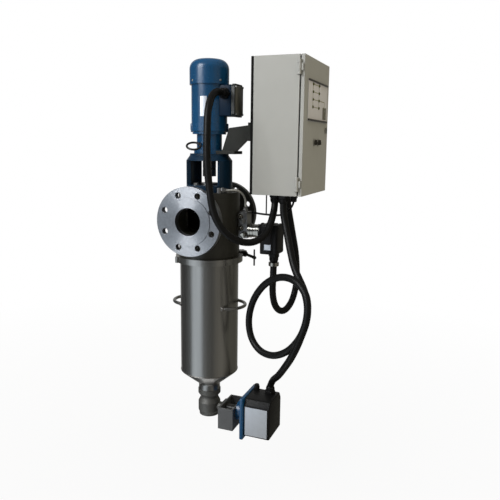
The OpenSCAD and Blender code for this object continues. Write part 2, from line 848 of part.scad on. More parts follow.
module selector_bases() color(black)
    for (y = knob_y)
        translate([0, y, knob_z])
            difference() {
                union() {
                    along_x(cabinet_front, cabinet_front + selector_l, selector_r);
                    along_x(cabinet_front - 3, cabinet_front, selector_neck_r - move_gap);
                    slab([cabinet_front - 45, cabinet_front - 3], [-selector_r, selector_r],
                        [-selector_r, selector_r]);
                }
                along_x(cabinet_front - 10, cabinet_front + selector_l + eps, lock_r);
            }

module selector_knob(y) translate([0, y, knob_z]) {
    top = cabinet_front + selector_l + move_gap;
    along_x(cabinet_front - 8, top, lock_r - move_gap);
    along_x(top, top + 3, knob_r);
    slab([top + 3, top + 8], [-2.5, 2.5], [-knob_r + 1, knob_r - 1]);
}

module selector_knob_a() color(black)
    selector_knob(knob_y[0]);

module selector_knob_b() color(black)
    selector_knob(knob_y[1]);

module mounting_panel() color(steel) {
    x = cabinet_x + sheet_t;
    slab([x + 3, x + 5], [cabinet_y + 18, cabinet_far - 18], [cabinet_z + 20, cabinet_top - 20]);
    for (y = [cabinet_y + 26, cabinet_far - 26], z = [cabinet_z + 28, cabinet_top - 28])
        translate([0, y, z])
            along_x(x, x + 3, 6);
}

module inner_devices() color([0.2, 0.2, 0.22]) {
    x = cabinet_x + sheet_t + 5;
    for (z = rail_z)
        slab([x, x + 7], [cabinet_y + 30, cabinet_far - 30], [z, z + 35]);
    for (k = [0 : 2])
        slab([x + 7, x + 70], [cabinet_y + 40 + k * 60, cabinet_y + 85 + k * 60],
            [rail_z[2] - 20, rail_z[2] + 55]);
    for (k = [0 : 1])
        slab([x + 7, x + 60], [cabinet_y + 40 + k * 100, cabinet_y + 130 + k * 100],
            [rail_z[1] - 25, rail_z[1] + 55]);
    for (k = [0 : 14])
        slab([x + 7, x + 45], [cabinet_y + 50 + k * 12, cabinet_y + 61 + k * 12],
            [rail_z[0] - 8, rail_z[0] + 40]);
}

module impulse_tube() color(steel)
    tube(impulse_route, tube_d, 10, 3, [0, 0, 1], [cos(tube_turn), sin(tube_turn), 0], [0, 0, -1]);

module tube_nut() {
    cylinder(h = 0.6 * nut_h, r = tube_d / 2 + 6, $fn = 6);
    cylinder(h = nut_h, r = tube_d / 2 + 3.5);
}

module tube_fittings() color(steel) {
    translate([tube_post[0], tube_post[1], cover_top])
        cylinder(h = tube_post_h, r = tube_post_r);
    translate([tube_post[0], tube_post[1], tube_rise])
        rotate([0, 90, tube_turn])
            translate([0, 0, 6])
                tube_nut();
    translate([tube_end[0], tube_end[1], manifold_top])
        tube_nut();
    translate([(pad_x + manifold_x) / 2, dp_y - manifold_w / 2, -8])
        rotate([90, 0, 0])
            tube_nut();
}

module dp_manifold() color(steel)
    slab([pad_x, manifold_x], [dp_y - manifold_w / 2, dp_y + manifold_w / 2],
        [manifold_bottom, manifold_top]);

module dp_body() color(steel) translate([0, dp_y, dp_z]) {
    along_x(manifold_x, dp_box_x, dp_r);
    for (x = [manifold_x + 3, dp_box_x - 9])
        along_x(x, x + 6, dp_r + 1.5);
}

module dp_housing() color(black) {
    translate([0, dp_y, dp_z - 3])
        along_x(dp_box_x, dp_box_x + dp_boss_l, dp_boss_r);
    slab([dp_box_x + dp_boss_l, dp_box_x + dp_boss_l + dp_box_l], [dp_y - dp_box_w / 2, dp_y + dp_box_w / 2],
        [dp_box_top - dp_box_h, dp_box_top]);
}

module shell() color(steel) difference() {
    union() {
        between(gasket_z - ferrule_t, gasket_z, ferrule_r);
        between(shell_bottom, gasket_z, shell_r);
        translate([0, 0, cone_bottom])
            cylinder(h = cone_h, r1 = spigot_r, r2 = shell_r);
        between(spigot_bottom, cone_bottom, spigot_r);
    }
    between(shell_bottom, gasket_z + eps, shell_r - shell_wall);
    translate([0, 0, cone_bottom])
        cylinder(h = cone_h, r1 = valve_bore_r + 3, r2 = shell_r - shell_wall);
    between(spigot_bottom - eps, cone_bottom + eps, valve_bore_r + 3);
}

module d_handle() difference() {
    translate([handle_reach - handle_rod_r - handle_ring_r, 0, 0])
        rotate_extrude()
            translate([handle_ring_r, 0])
                circle(handle_rod_r);
    between(-4 * handle_rod_r, 4 * handle_rod_r, shell_r);
}

module shell_handles() color(steel)
    for (turn = [0, 180])
        rotate([0, 0, turn])
            translate([0, 0, handle_z])
                d_handle();

module clamp_profile() difference() {
    translate([head_r + 0.8, clamp_low])
        square([clamp_r - head_r - 0.8, clamp_high - clamp_low]);
    translate([0, gasket_z - ferrule_t - move_gap])
        square([ferrule_r + move_gap, -head_bottom - gasket_z + 2 * ferrule_t + 2 * move_gap]);
}

module lug_frame() rotate([0, 0, clamp_angle])
    translate([lug_r, 0, lug_z])
        rotate([90, 0, 0])
            children();

module clamp_ring() color([0.3, 0.3, 0.28]) difference() {
    union() {
        rotate_extrude()
            clamp_profile();
        rotate([0, 0, clamp_angle])
            difference() {
                slab([clamp_r - 6, lug_r + lug_w / 2], [-lug_t - lug_gap / 2, lug_t + lug_gap / 2],
                    [lug_z - lug_w / 2, lug_z + lug_w / 2]);
                between(clamp_low, lug_z + lug_w, clamp_r - 2);
            }
        rotate([0, 0, clamp_angle + 180])
            translate([clamp_r + 2, 0, 0])
                between(clamp_low, clamp_high, 6);
    }
    rotate([0, 0, clamp_angle])
        slab([0, 2 * clamp_r], [-lug_gap / 2, lug_gap / 2], [clamp_low - eps, clamp_high + eps]);
    lug_frame()
        cylinder(h = 4 * lug_t, r = clamp_bolt_r + move_gap, center = true);
}

module clamp_bolt() color([0.1, 0.1, 0.1]) lug_frame() {
    out = lug_gap / 2 + lug_t;
    translate([0, 0, -out - 9])
        cylinder(h = 2 * out + 9 + clamp_bolt_l, r = clamp_bolt_r);
    translate([0, 0, -out - move_gap - 8])
        cylinder(h = 8, r = 2 * clamp_bolt_r, $fn = 6);
    translate([0, 0, out + move_gap])
        cylinder(h = 8, r = 2 * clamp_bolt_r);
    translate([0, 0, out + clamp_bolt_l - 6])
        rotate([90, 0, 0])
            cylinder(h = tommy_l, r = 2.5, center = true);
    translate([0, 0, out + clamp_bolt_l - 6])
        sphere(clamp_bolt_r + 1.5);
}

module body_seal() color(black)
    ringed(gasket_z, -head_bottom, ferrule_r - 1, head_in_r);

module filter_screen() color(steel) difference() {
    union() {
        ringed(screen_bottom, screen_top, screen_r + screen_wall, screen_r);
        ringed(screen_top - ring_h, screen_top, screen_r + 7, riser_r);
        ringed(screen_bottom, screen_bottom + ring_h, spider_hub_r, shaft_r + bush_wall);
        around(3, 0, 30)
            slab([shaft_r + bush_wall + 1, screen_r + 1], [-4, 4], [screen_bottom, screen_bottom + ring_h]);
    }
    for (row = [0 : screen_rows - 1])
        around(screen_slots, screen_r, row % 2 * 180 / screen_slots)
            slab([-8, 8], [-slot_w / 2, slot_w / 2],
                [slots_low + row * slot_pitch + 4, slots_low + (row + 1) * slot_pitch - 4]);
}

module scraper_shaft() color(steel)
    between(screen_bottom - 4, coupling_z + hub_h - 2, shaft_r);

module scraper_arms() color(steel)
    for (k = [0 : arm_levels - 1])
        translate([0, 0, blade_low + 20 + k * arm_pitch])
            difference() {
                union() {
                    between(-8, 8, shaft_r + 7);
                    slab([-blade_r + blade_w, blade_r - blade_w], [-5, 5], [-5, 5]);
                }
                between(-9, 9, shaft_r);
            }

module scraper_blades() color([0.9, 0.9, 0.88])
    for (turn = [0, 180])
        rotate([0, 0, turn])
            intersection() {
                slab([blade_r - blade_w, blade_r], [-4, 4], [blade_low, blade_high]);
                between(blade_low, blade_high, blade_r);
            }

module valve_body() color([0.5, 0.5, 0.5]) difference() {
    union() {
        rotate_extrude()
            polygon([[0, valve_bottom], [valve_end_r - 4, valve_bottom], [valve_end_r - 4, valve_bottom + 6],
                [valve_body_r, stem_z - 14], [valve_body_r, stem_z + 14], [valve_end_r - 7.5, stem_z + 28],
                [valve_end_r - 7.5, valve_top - 24], [valve_end_r, valve_top - 14], [valve_end_r, valve_top],
                [0, valve_top]]);
        translate([0, 0, stem_z]) {
            along_x(valve_body_r - 6, boss_x, 14);
            slab([boss_x, vbracket_x], [-22, 22], [-18, 18]);
        }
    }
    between(valve_bottom - eps, valve_top + eps, valve_bore_r);
    between(stem_z - seat_h, stem_z + seat_h, seat_r);
    translate([0, 0, stem_z]) {
        sphere(ball_r + 1);
        along_x(0, vbracket_x + eps, stem_r + run_gap);
    }
}

module valve_seats() color([0.9, 0.9, 0.9])
    for (way = [0, 180])
        translate([0, 0, stem_z])
            rotate([way, 0, 0])
                difference() {
                    ringed(12, seat_h, seat_r, valve_bore_r);
                    sphere(ball_r + run_gap);
                }

module ball() color(steel) translate([0, 0, stem_z]) difference() {
    rotate([0, 0, 135])
        sphere(ball_r);
    rotate([90, 0, 0])
        cylinder(h = 3 * ball_r, r = valve_bore_r - 1, center = true);
    slab([tang_x, 2 * ball_r], [-4, 4], [-2 * ball_r, 2 * ball_r]);
}

module stem() color(steel) translate([0, 0, stem_z]) {
    along_x(ball_r + 1, vbracket_x + 18, stem_r);
    slab([tang_x + move_gap, ball_r + 1], [move_gap - 4, 4 - move_gap], [-4, 4]);
}

module stem_coupling() color(steel) translate([0, 0, stem_z]) difference() {
    union() {
        along_x(vbracket_x + vbracket_wall + 1, vbracket_end - vbracket_wall - 1, sleeve_r);
        along_x(vbracket_end - vbracket_wall - 2, act_cover_x + 8, act_shaft_r);
    }
    along_x(vbracket_x, vbracket_x + 18, stem_r);
}

module valve_bracket() color([0.45, 0.45, 0.45]) difference() {
    slab([vbracket_x, vbracket_end], [-vbracket_d / 2, vbracket_d / 2],
        [vbracket_top - vbracket_h, vbracket_top]);
    slab([vbracket_x + vbracket_wall, vbracket_end - vbracket_wall],
        [-vbracket_d / 2 + vbracket_wall, vbracket_d / 2 - vbracket_wall],
        [vbracket_top - vbracket_h - eps, vbracket_top + eps]);
    translate([0, 0, stem_z])
        along_x(vbracket_x - eps, vbracket_end + eps, act_shaft_r + 1);
}

module actuator_base() color(blue) difference() {
    union() {
        translate([0, 0, stem_z])
            along_x(vbracket_end, base_x, 32);
        slab([base_x, act_cover_x], [-act_base_w / 2, act_base_w / 2],
            [stem_z - act_base_h / 2, stem_z + act_base_h / 2]);
    }
    translate([0, 0, stem_z])
        along_x(vbracket_end - eps, act_cover_x + eps, act_shaft_r + run_gap);
}

module actuator_cover() color(black) difference() {
    c = 3;
    slope = 20;
    w = act_cover_w / 2;
    h = act_cover_h / 2;
    translate([act_cover_x, 0, act_mid])
        rotate([90, 0, 90])
            linear_extrude(height = act_cover_l)
                polygon([[-w, -h + c], [-w + c, -h], [w - c, -h], [w, -h + c], [w, h - slope],
                    [w - slope * 0.6, h], [-w + slope * 0.6, h], [-w, h - slope]]);
    translate([0, 0, stem_z])
        along_x(act_cover_x - eps, act_cover_x + 10, act_shaft_r + 1);
}

module motor_conduit() color(black)
    tube(motor_route, conduit_d, 10, 2, [1, 0, 0], [0, -1, 0], [0, 0, 1]);

module dp_conduit() color(black)
    tube(dp_route, conduit_d, 10, 2, [1, 0, 0], [0, 0, -1], [0, 0, 1]);

module actuator_conduit() color(black)
    tube(actuator_route, conduit_d, 10, 1, [1, 0, 0], [0, 0, -1], [0, 0, -1]);

translate(site) head_body();
translate(site) inlet_flange();
translate(site) outlet_flange();
translate(site) top_cover();
translate(site) fasteners();
translate(site) seal_housing();
translate(site) shaft_bearings();
translate(site) lantern();
translate(site) gearbox_housing();
translate(site) output_shaft();
translate(site) coupling_hubs();
translate(site) coupling_spider();
translate(site) motor_frame();
translate(site) motor_rotor();
translate(site) fan();
translate(site) fan_cowl();
translate(site) terminal_box();
translate(site) terminal_lid();
translate(site) blank_labels();
translate(site) conduit_glands();
translate(site) lifting_eye();
translate(site) bracket_arm();
translate(site) back_plate();
translate(site) cabinet_body();
translate(site) cabinet_door();
translate(site) door_seal();
translate(site) door_hinges();
translate(site) door_lock();
translate(site) mimic_panel();
translate(site) indicator_lamps();
translate(site) selector_bases();
translate(site) selector_knob_a();
translate(site) selector_knob_b();
translate(site) mounting_panel();
translate(site) inner_devices();
translate(site) impulse_tube();
translate(site) tube_fittings();
translate(site) dp_manifold();
translate(site) dp_body();
translate(site) dp_housing();
translate(site) shell();
translate(site) shell_handles();
translate(site) clamp_ring();
translate(site) clamp_bolt();
translate(site) body_seal();
translate(site) filter_screen();
translate(site) scraper_shaft();
translate(site) scraper_arms();
translate(site) scraper_blades();
translate(site) valve_body();
translate(site) valve_seats();
translate(site) ball();
translate(site) stem();
translate(site) stem_coupling();
translate(site) valve_bracket();
translate(site) actuator_base();
translate(site) actuator_cover();
translate(site) motor_conduit();
translate(site) dp_conduit();
translate(site) actuator_conduit();
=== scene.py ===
import bmesh
import bpy
import math
from mathutils import Matrix, Vector


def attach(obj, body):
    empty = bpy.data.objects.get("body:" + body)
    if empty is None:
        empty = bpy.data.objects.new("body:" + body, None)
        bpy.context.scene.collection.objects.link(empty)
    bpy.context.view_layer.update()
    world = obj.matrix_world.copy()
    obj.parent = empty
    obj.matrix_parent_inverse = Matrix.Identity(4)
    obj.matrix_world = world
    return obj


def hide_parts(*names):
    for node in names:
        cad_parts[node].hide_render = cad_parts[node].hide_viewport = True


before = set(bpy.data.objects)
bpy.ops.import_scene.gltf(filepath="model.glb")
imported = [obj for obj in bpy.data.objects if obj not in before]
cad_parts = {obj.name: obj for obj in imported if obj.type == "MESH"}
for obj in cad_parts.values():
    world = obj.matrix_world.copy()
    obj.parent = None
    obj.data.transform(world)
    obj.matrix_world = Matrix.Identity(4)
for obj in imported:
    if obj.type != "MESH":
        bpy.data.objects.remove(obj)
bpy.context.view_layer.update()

# The viewpoint: a shop photograph taken from the inlet side, a little to the cabinet's
# side and just above the flanges. Focal length and place come from the flange's holes.
lens_mm, sensor_mm = 40.54, 36.0
turn_deg, tilt_deg, roll_deg = 21.44, 79.5, 0.75
stands_at = (0.743, -1.4069, 0.2152)
camera = bpy.data.objects.new("camera", bpy.data.cameras.new("camera"))
camera.data.sensor_width = sensor_mm
camera.data.lens = lens_mm
look = (Matrix.Rotation(math.radians(turn_deg), 4, "Z") @ Matrix.Rotation(math.radians(tilt_deg), 4, "X")
        @ Matrix.Rotation(math.radians(roll_deg), 4, "Z"))
camera.matrix_world = Matrix.Translation(stands_at) @ look
bpy.context.scene.collection.objects.link(camera)
bpy.context.scene.camera = camera

# The three conduits: black ribbed plastic hose over the wiring, hanging in the open between
# the cabinet's glands and the motor, the pressure switch and the drain's actuator.
# Lengths are in millimetres about the filter's upright axis, which stands behind the inlet's face.
axis_y = 142.0
hose_d, rib_r, groove_r, rib_gap = 21.0, 10.45, 9.7, 2.0
loop_mid, loop_r, loop_start, loop_drift = (251, -80, -266), 124, 20, 0.1
loop_across, loop_rise, loop_aside = (0.815, -0.426, 0), (0.28, -0.11, 1), (-0.366, 0.93, 0)
mix_a, mix_b, mix_out = 6, 7, 2  # the colour sockets of a Mix node


def surface(name, colour, rough, metal=0.0, drift=0.12, patch=0.03, grain=0.0006, depth=0.12,
            spread=0.1, stretch=(1, 1, 1), edge=0.0, worn=None, coat=0.0, shine=0.5):
    """A finish with cloudy tone, uneven gloss, fine grain and, where asked, rubbed edges."""
    made = bpy.data.materials.new(name)
    made.use_nodes = True
    nodes, links = made.node_tree.nodes, made.node_tree.links
    shader = nodes["Principled BSDF"]
    shader.inputs["Metallic"].default_value = metal
    shader.inputs["Specular IOR Level"].default_value = shine
    if coat:
        shader.inputs["Coat Weight"].default_value = coat
        shader.inputs["Coat Roughness"].default_value = 0.12
    place = nodes.new("ShaderNodeTexCoord")
    scale = nodes.new("ShaderNodeMapping")
    scale.inputs["Scale"].default_value = stretch
    links.new(place.outputs["Object"], scale.inputs["Vector"])

    def cloud(size, detail):
        noise = nodes.new("ShaderNodeTexNoise")
        noise.inputs["Scale"].default_value = 1 / size
        noise.inputs["Detail"].default_value = detail
        links.new(scale.outputs["Vector"], noise.inputs["Vector"])
        return noise.outputs["Fac"]

    tone = nodes.new("ShaderNodeMix")
    tone.data_type = "RGBA"
    tone.inputs[mix_a].default_value = [c * (1 - drift) for c in colour] + [1]
    tone.inputs[mix_b].default_value = [min(1, c * (1 + drift)) for c in colour] + [1]
    links.new(cloud(patch, 6), tone.inputs[0])
    last = tone.outputs[mix_out]
    gloss = nodes.new("ShaderNodeMapRange")
    gloss.inputs["To Min"].default_value = max(0.03, rough - spread)
    gloss.inputs["To Max"].default_value = min(1, rough + spread)
    links.new(cloud(patch * 0.4, 4), gloss.inputs["Value"])
    links.new(gloss.outputs["Result"], shader.inputs["Roughness"])
    bump = nodes.new("ShaderNodeBump")
    bump.inputs["Strength"].default_value = depth
    bump.inputs["Distance"].default_value = 0.0004
    links.new(cloud(grain, 2), bump.inputs["Height"])
    if edge:
        soft = nodes.new("ShaderNodeBevel")
        soft.samples = 4
        soft.inputs["Radius"].default_value = edge
        links.new(soft.outputs["Normal"], bump.inputs["Normal"])
        if worn:
            flat = nodes.new("ShaderNodeNewGeometry")
            meet = nodes.new("ShaderNodeVectorMath")
            meet.operation = "DOT_PRODUCT"
            links.new(soft.outputs["Normal"], meet.inputs[0])
            links.new(flat.outputs["Normal"], meet.inputs[1])
            rub = nodes.new("ShaderNodeMapRange")
            rub.inputs["From Min"].default_value = 0.985
            rub.inputs["From Max"].default_value = 0.80
            rub.inputs["To Max"].default_value = 0.7
            links.new(meet.outputs["Value"], rub.inputs["Value"])
            broken = nodes.new("ShaderNodeMath")
            broken.operation = "MULTIPLY"
            links.new(rub.outputs["Result"], broken.inputs[0])
            links.new(cloud(0.006, 4), broken.inputs[1])
            bare = nodes.new("ShaderNodeMix")
            bare.data_type = "RGBA"
            bare.inputs[mix_b].default_value = list(worn) + [1]
            links.new(last, bare.inputs[mix_a])
            links.new(broken.outputs["Value"], bare.inputs[0])
            last = bare.outputs[mix_out]
    links.new(last, shader.inputs["Base Color"])
    links.new(bump.outputs["Normal"], shader.inputs["Normal"])
    return made


def in_metres(p):
    """A point about the filter's axis, in the frame that the CAD shares."""
    return p[0] / 1000, (p[1] + axis_y) / 1000, p[2] / 1000


def piece(name, form, finish, body, stands_for=(), crease=32):
    """A mesh from (points, faces) in millimetres about the filter's axis, riding on a body."""
    points, faces = form
    mesh = bpy.data.meshes.new(name)
    mesh.from_pydata([in_metres(p) for p in points], [], faces)
    mesh.update()
    outward = bmesh.new()
    outward.from_mesh(mesh)
    bmesh.ops.recalc_face_normals(outward, faces=outward.faces)
    outward.to_mesh(mesh)
    outward.free()
    mesh.shade_smooth()
    mesh.set_sharp_from_angle(angle=math.radians(crease))
    made = bpy.data.objects.new(name, mesh)
    made.data.materials.append(finish)
    bpy.context.scene.collection.objects.link(made)
    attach(made, body)
    if stands_for:
        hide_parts(*stands_for)
    return made


def smooth_line(points, steps):
    """The same smooth curve through the route's points that the part's source sweeps."""
    points = [Vector(p) for p in points]
    line = [points[0]]
    for i in range(len(points) - 1):
        a, b, c = points[max(i - 1, 0)], points[i], points[i + 1]
        d = points[min(i + 2, len(points) - 1)]
        for k in range(1, steps + 1):
            t = k / steps
            line.append(b + ((c - a) * t + (2 * a - 5 * b + 4 * c - d) * t * t
                             + (3 * b - a - 3 * c + d) * t ** 3) / 2)
    return line


def even(line, gap):
    """Points at an even spacing along a line."""
    run = [0.0]
    for a, b in zip(line, line[1:]):
        run.append(run[-1] + (b - a).length)
    count = max(2, round(run[-1] / gap))
    out, j = [], 0
    for k in range(count + 1):
        want = run[-1] * k / count
        while j < len(line) - 2 and run[j + 1] < want:
            j += 1
        part = (want - run[j]) / max(1e-9, run[j + 1] - run[j])
        out.append(line[j].lerp(line[j + 1], min(1, part)))
    return out


def sweep(line, radius, sides):
    """A closed round tube along a line; radius(k) gives each ring's radius."""
    points, faces = [], []
    side = None
    for k, at in enumerate(line):
        way = (line[min(k + 1, len(line) - 1)] - line[max(k - 1, 0)]).normalized()
        side = way.orthogonal() if side is None else side - way * side.dot(way)
        side.normalize()
        other = way.cross(side)
        for s in range(sides):
            turn = 2 * math.pi * s / sides
            points.append(at + radius(k) * (side * math.cos(turn) + other * math.sin(turn)))
    for k in range(len(line) - 1):
        for s in range(sides):
            e = (s + 1) % sides
            faces.append((k * sides + s, k * sides + e, (k + 1) * sides + e, (k + 1) * sides + s))
    faces.append(tuple(range(sides))[::-1])
    faces.append(tuple((len(line) - 1) * sides + s for s in range(sides)))
    return points, faces


def loop_at(angle):
    """A point of the hanging loop, which leans over and drifts aside as it winds."""
    turn, off = math.radians(angle), loop_start + (angle - 30) * loop_drift
    return tuple(m + loop_r * (a * math.cos(turn) + r * math.sin(turn)) + s * off
                 for m, a, r, s in zip(loop_mid, loop_across, loop_rise, loop_aside))


routes = {
    "motor_conduit": [(63, -58.3, 361), (63, -86, 360), (63, -118, 344), (64, -142, 306), (67, -154, 255),
                      (69, -160, 200), (72, -162, 150), (77, -162, 104), (84, -162, 58), (95, -160, 20),
                      (112, -152, -12), (132, -134, -36), (152, -110, -50), (172, -84, -54),
                      (190, -60, -46), (202, -38, -26), (207, -17, 2), (207, 4, 30), (206.5, 12, 51.7)],
    "dp_conduit": [(204, 20, -127.3), (203, 20, -175), (202, 22, -222), (205, 34, -262), (212, 60, -288),
                   (221, 92, -294), (230, 124, -276), (236, 144, -240), (238, 151, -195),
                   (233, 152, -125), (220, 148, -50), (208, 142, 20), (205, 140, 51.7)],
    "actuator_conduit": [(238, -6, 51.7), (240, -7, 24), (247, -12, -4), (260, -27, -38), (277, -49, -78),
                         (299, -74, -122)]
    + [loop_at(angle) for angle in range(45, -316, -30)]
    + [(360, -154, -234), (343, -156, -296), (314, -132, -358), (277, -82, -416), (246, -40, -460),
       (215, 6, -497), (200, 24, -525.03)],
}
hose_black = surface("hose_black", (0.006, 0.006, 0.006), 0.42, drift=0.3, patch=0.02, depth=0.05, shine=0.22)
for node, points in routes.items():
    line = even(smooth_line(points, 8), rib_gap)
    ribbed = sweep(line, lambda k: rib_r if k % 2 else groove_r, 16)
    hose = piece(node + "_hose", ribbed, hose_black, "filter", (node,), crease=80)

# Conduit glands: moulded black unions, a hexagon against the housing and a ribbed domed nut
# that grips the hose. The actuator's spare entry is closed with a plain plug, and a smaller
# gland under the cabinet takes the thin sensing tube.
up, down, front, right = (0, 0, 1), (0, 0, -1), (0, -1, 0), (1, 0, 0)
cabinet_foot, actuator_top = 76, -549.33
spare_entry = (262, 18, cabinet_foot)


def turned(profile, base=(0, 0, 0), axis=up, count=48, start=0.0):
    """A body of revolution from (radius, height) pairs, closed where the radius is 0."""
    axis = Vector(axis).normalized()
    side = Vector((1, 0, 0)) if abs(axis.x) < 0.9 else Vector((0, 1, 0))
    side = (side - axis * side.dot(axis)).normalized()
    other = axis.cross(side)
    base = Vector(base)
    points, rings, faces = [], [], []
    for r, h in profile:
        if r < 1e-6:
            rings.append([len(points)])
            points.append(base + axis * h)
            continue
        rings.append(list(range(len(points), len(points) + count)))
        for k in range(count):
            turn = start + 2 * math.pi * k / count
            points.append(base + axis * h + r * (side * math.cos(turn) + other * math.sin(turn)))
    for a, b in zip(rings, rings[1:]):
        for k in range(count):
            e = (k + 1) % count
            if len(a) == 1:
                faces.append((a[0], b[k], b[e]))
            elif len(b) == 1:
                faces.append((a[k], b[0], a[e]))
            else:
                faces.append((a[k], b[k], b[e], a[e]))
    return points, faces


def joined(*forms):
    """Several (points, faces) as one."""
    points, faces = [], []
    for p, f in forms:
        faces += [tuple(i + len(points) for i in face) for face in f]
        points += list(p)
    return points, faces


def spokes(way, count):
    """Unit vectors square to a direction, evenly round it."""
    way = Vector(way).normalized()
    side = way.orthogonal().normalized()
    return [Matrix.Rotation(2 * math.pi * k / count, 3, way) @ side for k in range(count)]


def gland_nut(at, way, length):
    """A hexagon, and above it the ribbed domed nut."""
    h = 0.4 * length
    hexagon = turned([(0, 0), (15.4, 0), (17, 1.2), (17, h - 1.2), (15.4, h), (0, h)], at, way, 6)
    dome = turned([(0, h), (13, h), (13, length - 7), (12.6, length - 4), (11.7, length - 1), (11, length),
                   (0, length)], at, way, 32)
    ribs = [turned([(0, h + 1), (1.2, h + 1), (1.2, length - 6), (0, length - 4.5)],
                   Vector(at) + 12.7 * side, way, 8) for side in spokes(way, 12)]
    return joined(hexagon, dome, *ribs)


moulded_black = surface("moulded_black", (0.007, 0.007, 0.0075), 0.42, shine=0.2, drift=0.25, patch=0.02,
                        grain=0.0005, depth=0.18, edge=0.0008)
plug = [(0, 0), (9, 0), (9, 11), (7.5, 12), (7.5, 16), (6.5, 18), (0, 18)]
glands = [gland_nut((206.5, 12, cabinet_foot), down, 24), gland_nut((205, 140, cabinet_foot), down, 24),
          gland_nut((238, -6, cabinet_foot), down, 24), gland_nut((63, -30, 361), front, 28),
          gland_nut((204, 20, -101), down, 26), gland_nut((200, 24, actuator_top), up, 24),
          turned(plug, (152, 32, actuator_top), up, 24)]
piece("gland_nuts", joined(*glands), moulded_black, "filter", ("conduit_glands",))
spare_hexagon = [(0, 0), (11, 0), (11.6, 0.8), (11.6, 8), (11, 8.8), (0, 8.8)]
spare_nut = [(0, 8.8), (9, 8.8), (9, 17), (7.5, 20), (0, 21)]
piece("spare_gland", joined(turned(spare_hexagon, spare_entry, down, 6),
                            turned(spare_nut, spare_entry, down, 28)),
      moulded_black, "filter")

# The head: a fabricated steel pot with its two nozzles welded in, painted in a very dark
# olive satin. Weld beads run round each nozzle's root, where it meets the pot.
neck_r, pot_r, bead_r, bead_steps = 46.0, 92.5, 3.0, 180


def dress(node, finish):
    """A solid of the model keeps its shape and takes a finish."""
    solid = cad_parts[node]
    solid.data.materials.clear()
    solid.data.materials.append(finish)


head_paint = surface("head_paint", (0.026, 0.0255, 0.020), 0.36, drift=0.35, patch=0.05, grain=0.0012,
                     depth=0.22, edge=0.0012, worn=(0.10, 0.095, 0.08))
dress("head_body", head_paint)
for name, way in (("inlet_weld", -1), ("outlet_weld", 1)):
    bead = []
    for k in range(bead_steps + 1):
        turn = 2 * math.pi * k / bead_steps
        x = neck_r * math.cos(turn)
        bead.append(Vector((x, way * (math.sqrt(pot_r ** 2 - x * x) + 0.4), neck_r * math.sin(turn))))
    rippled = sweep(bead, lambda k: bead_r + 0.35 * math.sin(k * 2.1), 10)
    piece(name, rippled, head_paint, "filter", crease=70)

# The flanges: standard forged rings with eight holes and a raised sealing face. The inlet
# shows bare turned metal, whose fine facing grooves draw the light out into a streak; the
# outlet is painted with the head.
groove_pitch, groove_depth, groove_streak = 0.0011, 0.25, 0.8


def turning_marks(finish, pitch, depth, streak):
    """Rings about the pipe's line at a fixed pitch, laid over the finish's own grain."""
    nodes, links = finish.node_tree.nodes, finish.node_tree.links
    shader = nodes["Principled BSDF"]
    place = next(n for n in nodes if n.type == "TEX_COORD")
    first = next(n for n in nodes if n.type == "BUMP")
    flat = nodes.new("ShaderNodeVectorMath")
    flat.operation = "MULTIPLY"
    flat.inputs[1].default_value = (1, 0, 1)
    links.new(place.outputs["Object"], flat.inputs[0])
    reach = nodes.new("ShaderNodeVectorMath")
    reach.operation = "LENGTH"
    links.new(flat.outputs["Vector"], reach.inputs[0])
    wave = nodes.new("ShaderNodeMath")
    wave.operation = "MULTIPLY"
    wave.inputs[1].default_value = 2 * math.pi / pitch
    links.new(reach.outputs["Value"], wave.inputs[0])
    swing = nodes.new("ShaderNodeMath")
    swing.operation = "SINE"
    links.new(wave.outputs["Value"], swing.inputs[0])
    more = nodes.new("ShaderNodeBump")
    more.inputs["Strength"].default_value = depth
    more.inputs["Distance"].default_value = 0.0003
    links.new(swing.outputs["Value"], more.inputs["Height"])
    links.new(first.outputs["Normal"], more.inputs["Normal"])
    links.new(more.outputs["Normal"], shader.inputs["Normal"])
    lay = nodes.new("ShaderNodeTangent")
    lay.direction_type = "RADIAL"
    lay.axis = "Y"
    links.new(lay.outputs["Tangent"], shader.inputs["Tangent"])
    shader.inputs["Anisotropic"].default_value = streak
    shader.inputs["Anisotropic Rotation"].default_value = 0.25


turned_face = surface("turned_face", (0.35, 0.36, 0.38), 0.34, metal=1.0, drift=0.22, patch=0.007,
                      grain=0.002, depth=0.08, edge=0.0010)
turning_marks(turned_face, groove_pitch, groove_depth, groove_streak)
dress("inlet_flange", turned_face)
flange_paint = surface("flange_paint", (0.040, 0.040, 0.036), 0.4, drift=0.3, patch=0.03, grain=0.0012,
                       depth=0.2, edge=0.0022, worn=(0.24, 0.24, 0.23))
dress("outlet_flange", flange_paint)

# The top cover: a thick machined disc, painted with the head, that carries the stuffing box
# and the lantern. Bronze bushes and packing hold the shaft.
dress("top_cover", head_paint)
machined = surface("machined", (0.42, 0.42, 0.42), 0.32, metal=1.0, drift=0.12, patch=0.015, grain=0.001,
                   depth=0.08, edge=0.0008)
dress("seal_housing", machined)
bush_bronze = surface("bush_bronze", (0.55, 0.36, 0.15), 0.35, metal=1.0, patch=0.01)
dress("shaft_bearings", bush_bronze)

# Bolts: zinc plated hexagon screws with washers on the cover and the lantern's foot, and
# small pan screws on the fan cowl and the terminal lid.
cover_top, cover_bolt_r = 78, 81.25
foot_top, foot_bolt_r = 98, 48
lid_face, lid_z = 96, 342
cowl_r, cowl_screw_z = 58, 398
zinc = surface("zinc", (0.50, 0.50, 0.47), 0.33, metal=1.0, drift=0.18, patch=0.006, grain=0.001, depth=0.12)


def hex_bolt(at):
    washer = turned([(0, 0), (9.6, 0), (9.6, 1.4), (9.2, 1.6), (0, 1.6)], at, up, 32)
    head = turned([(0, 1.6), (8.2, 1.6), (8.2, 6.2), (7.0, 7.0), (0, 7.0)], at, up, 6, 0.3)
    return joined(washer, head)


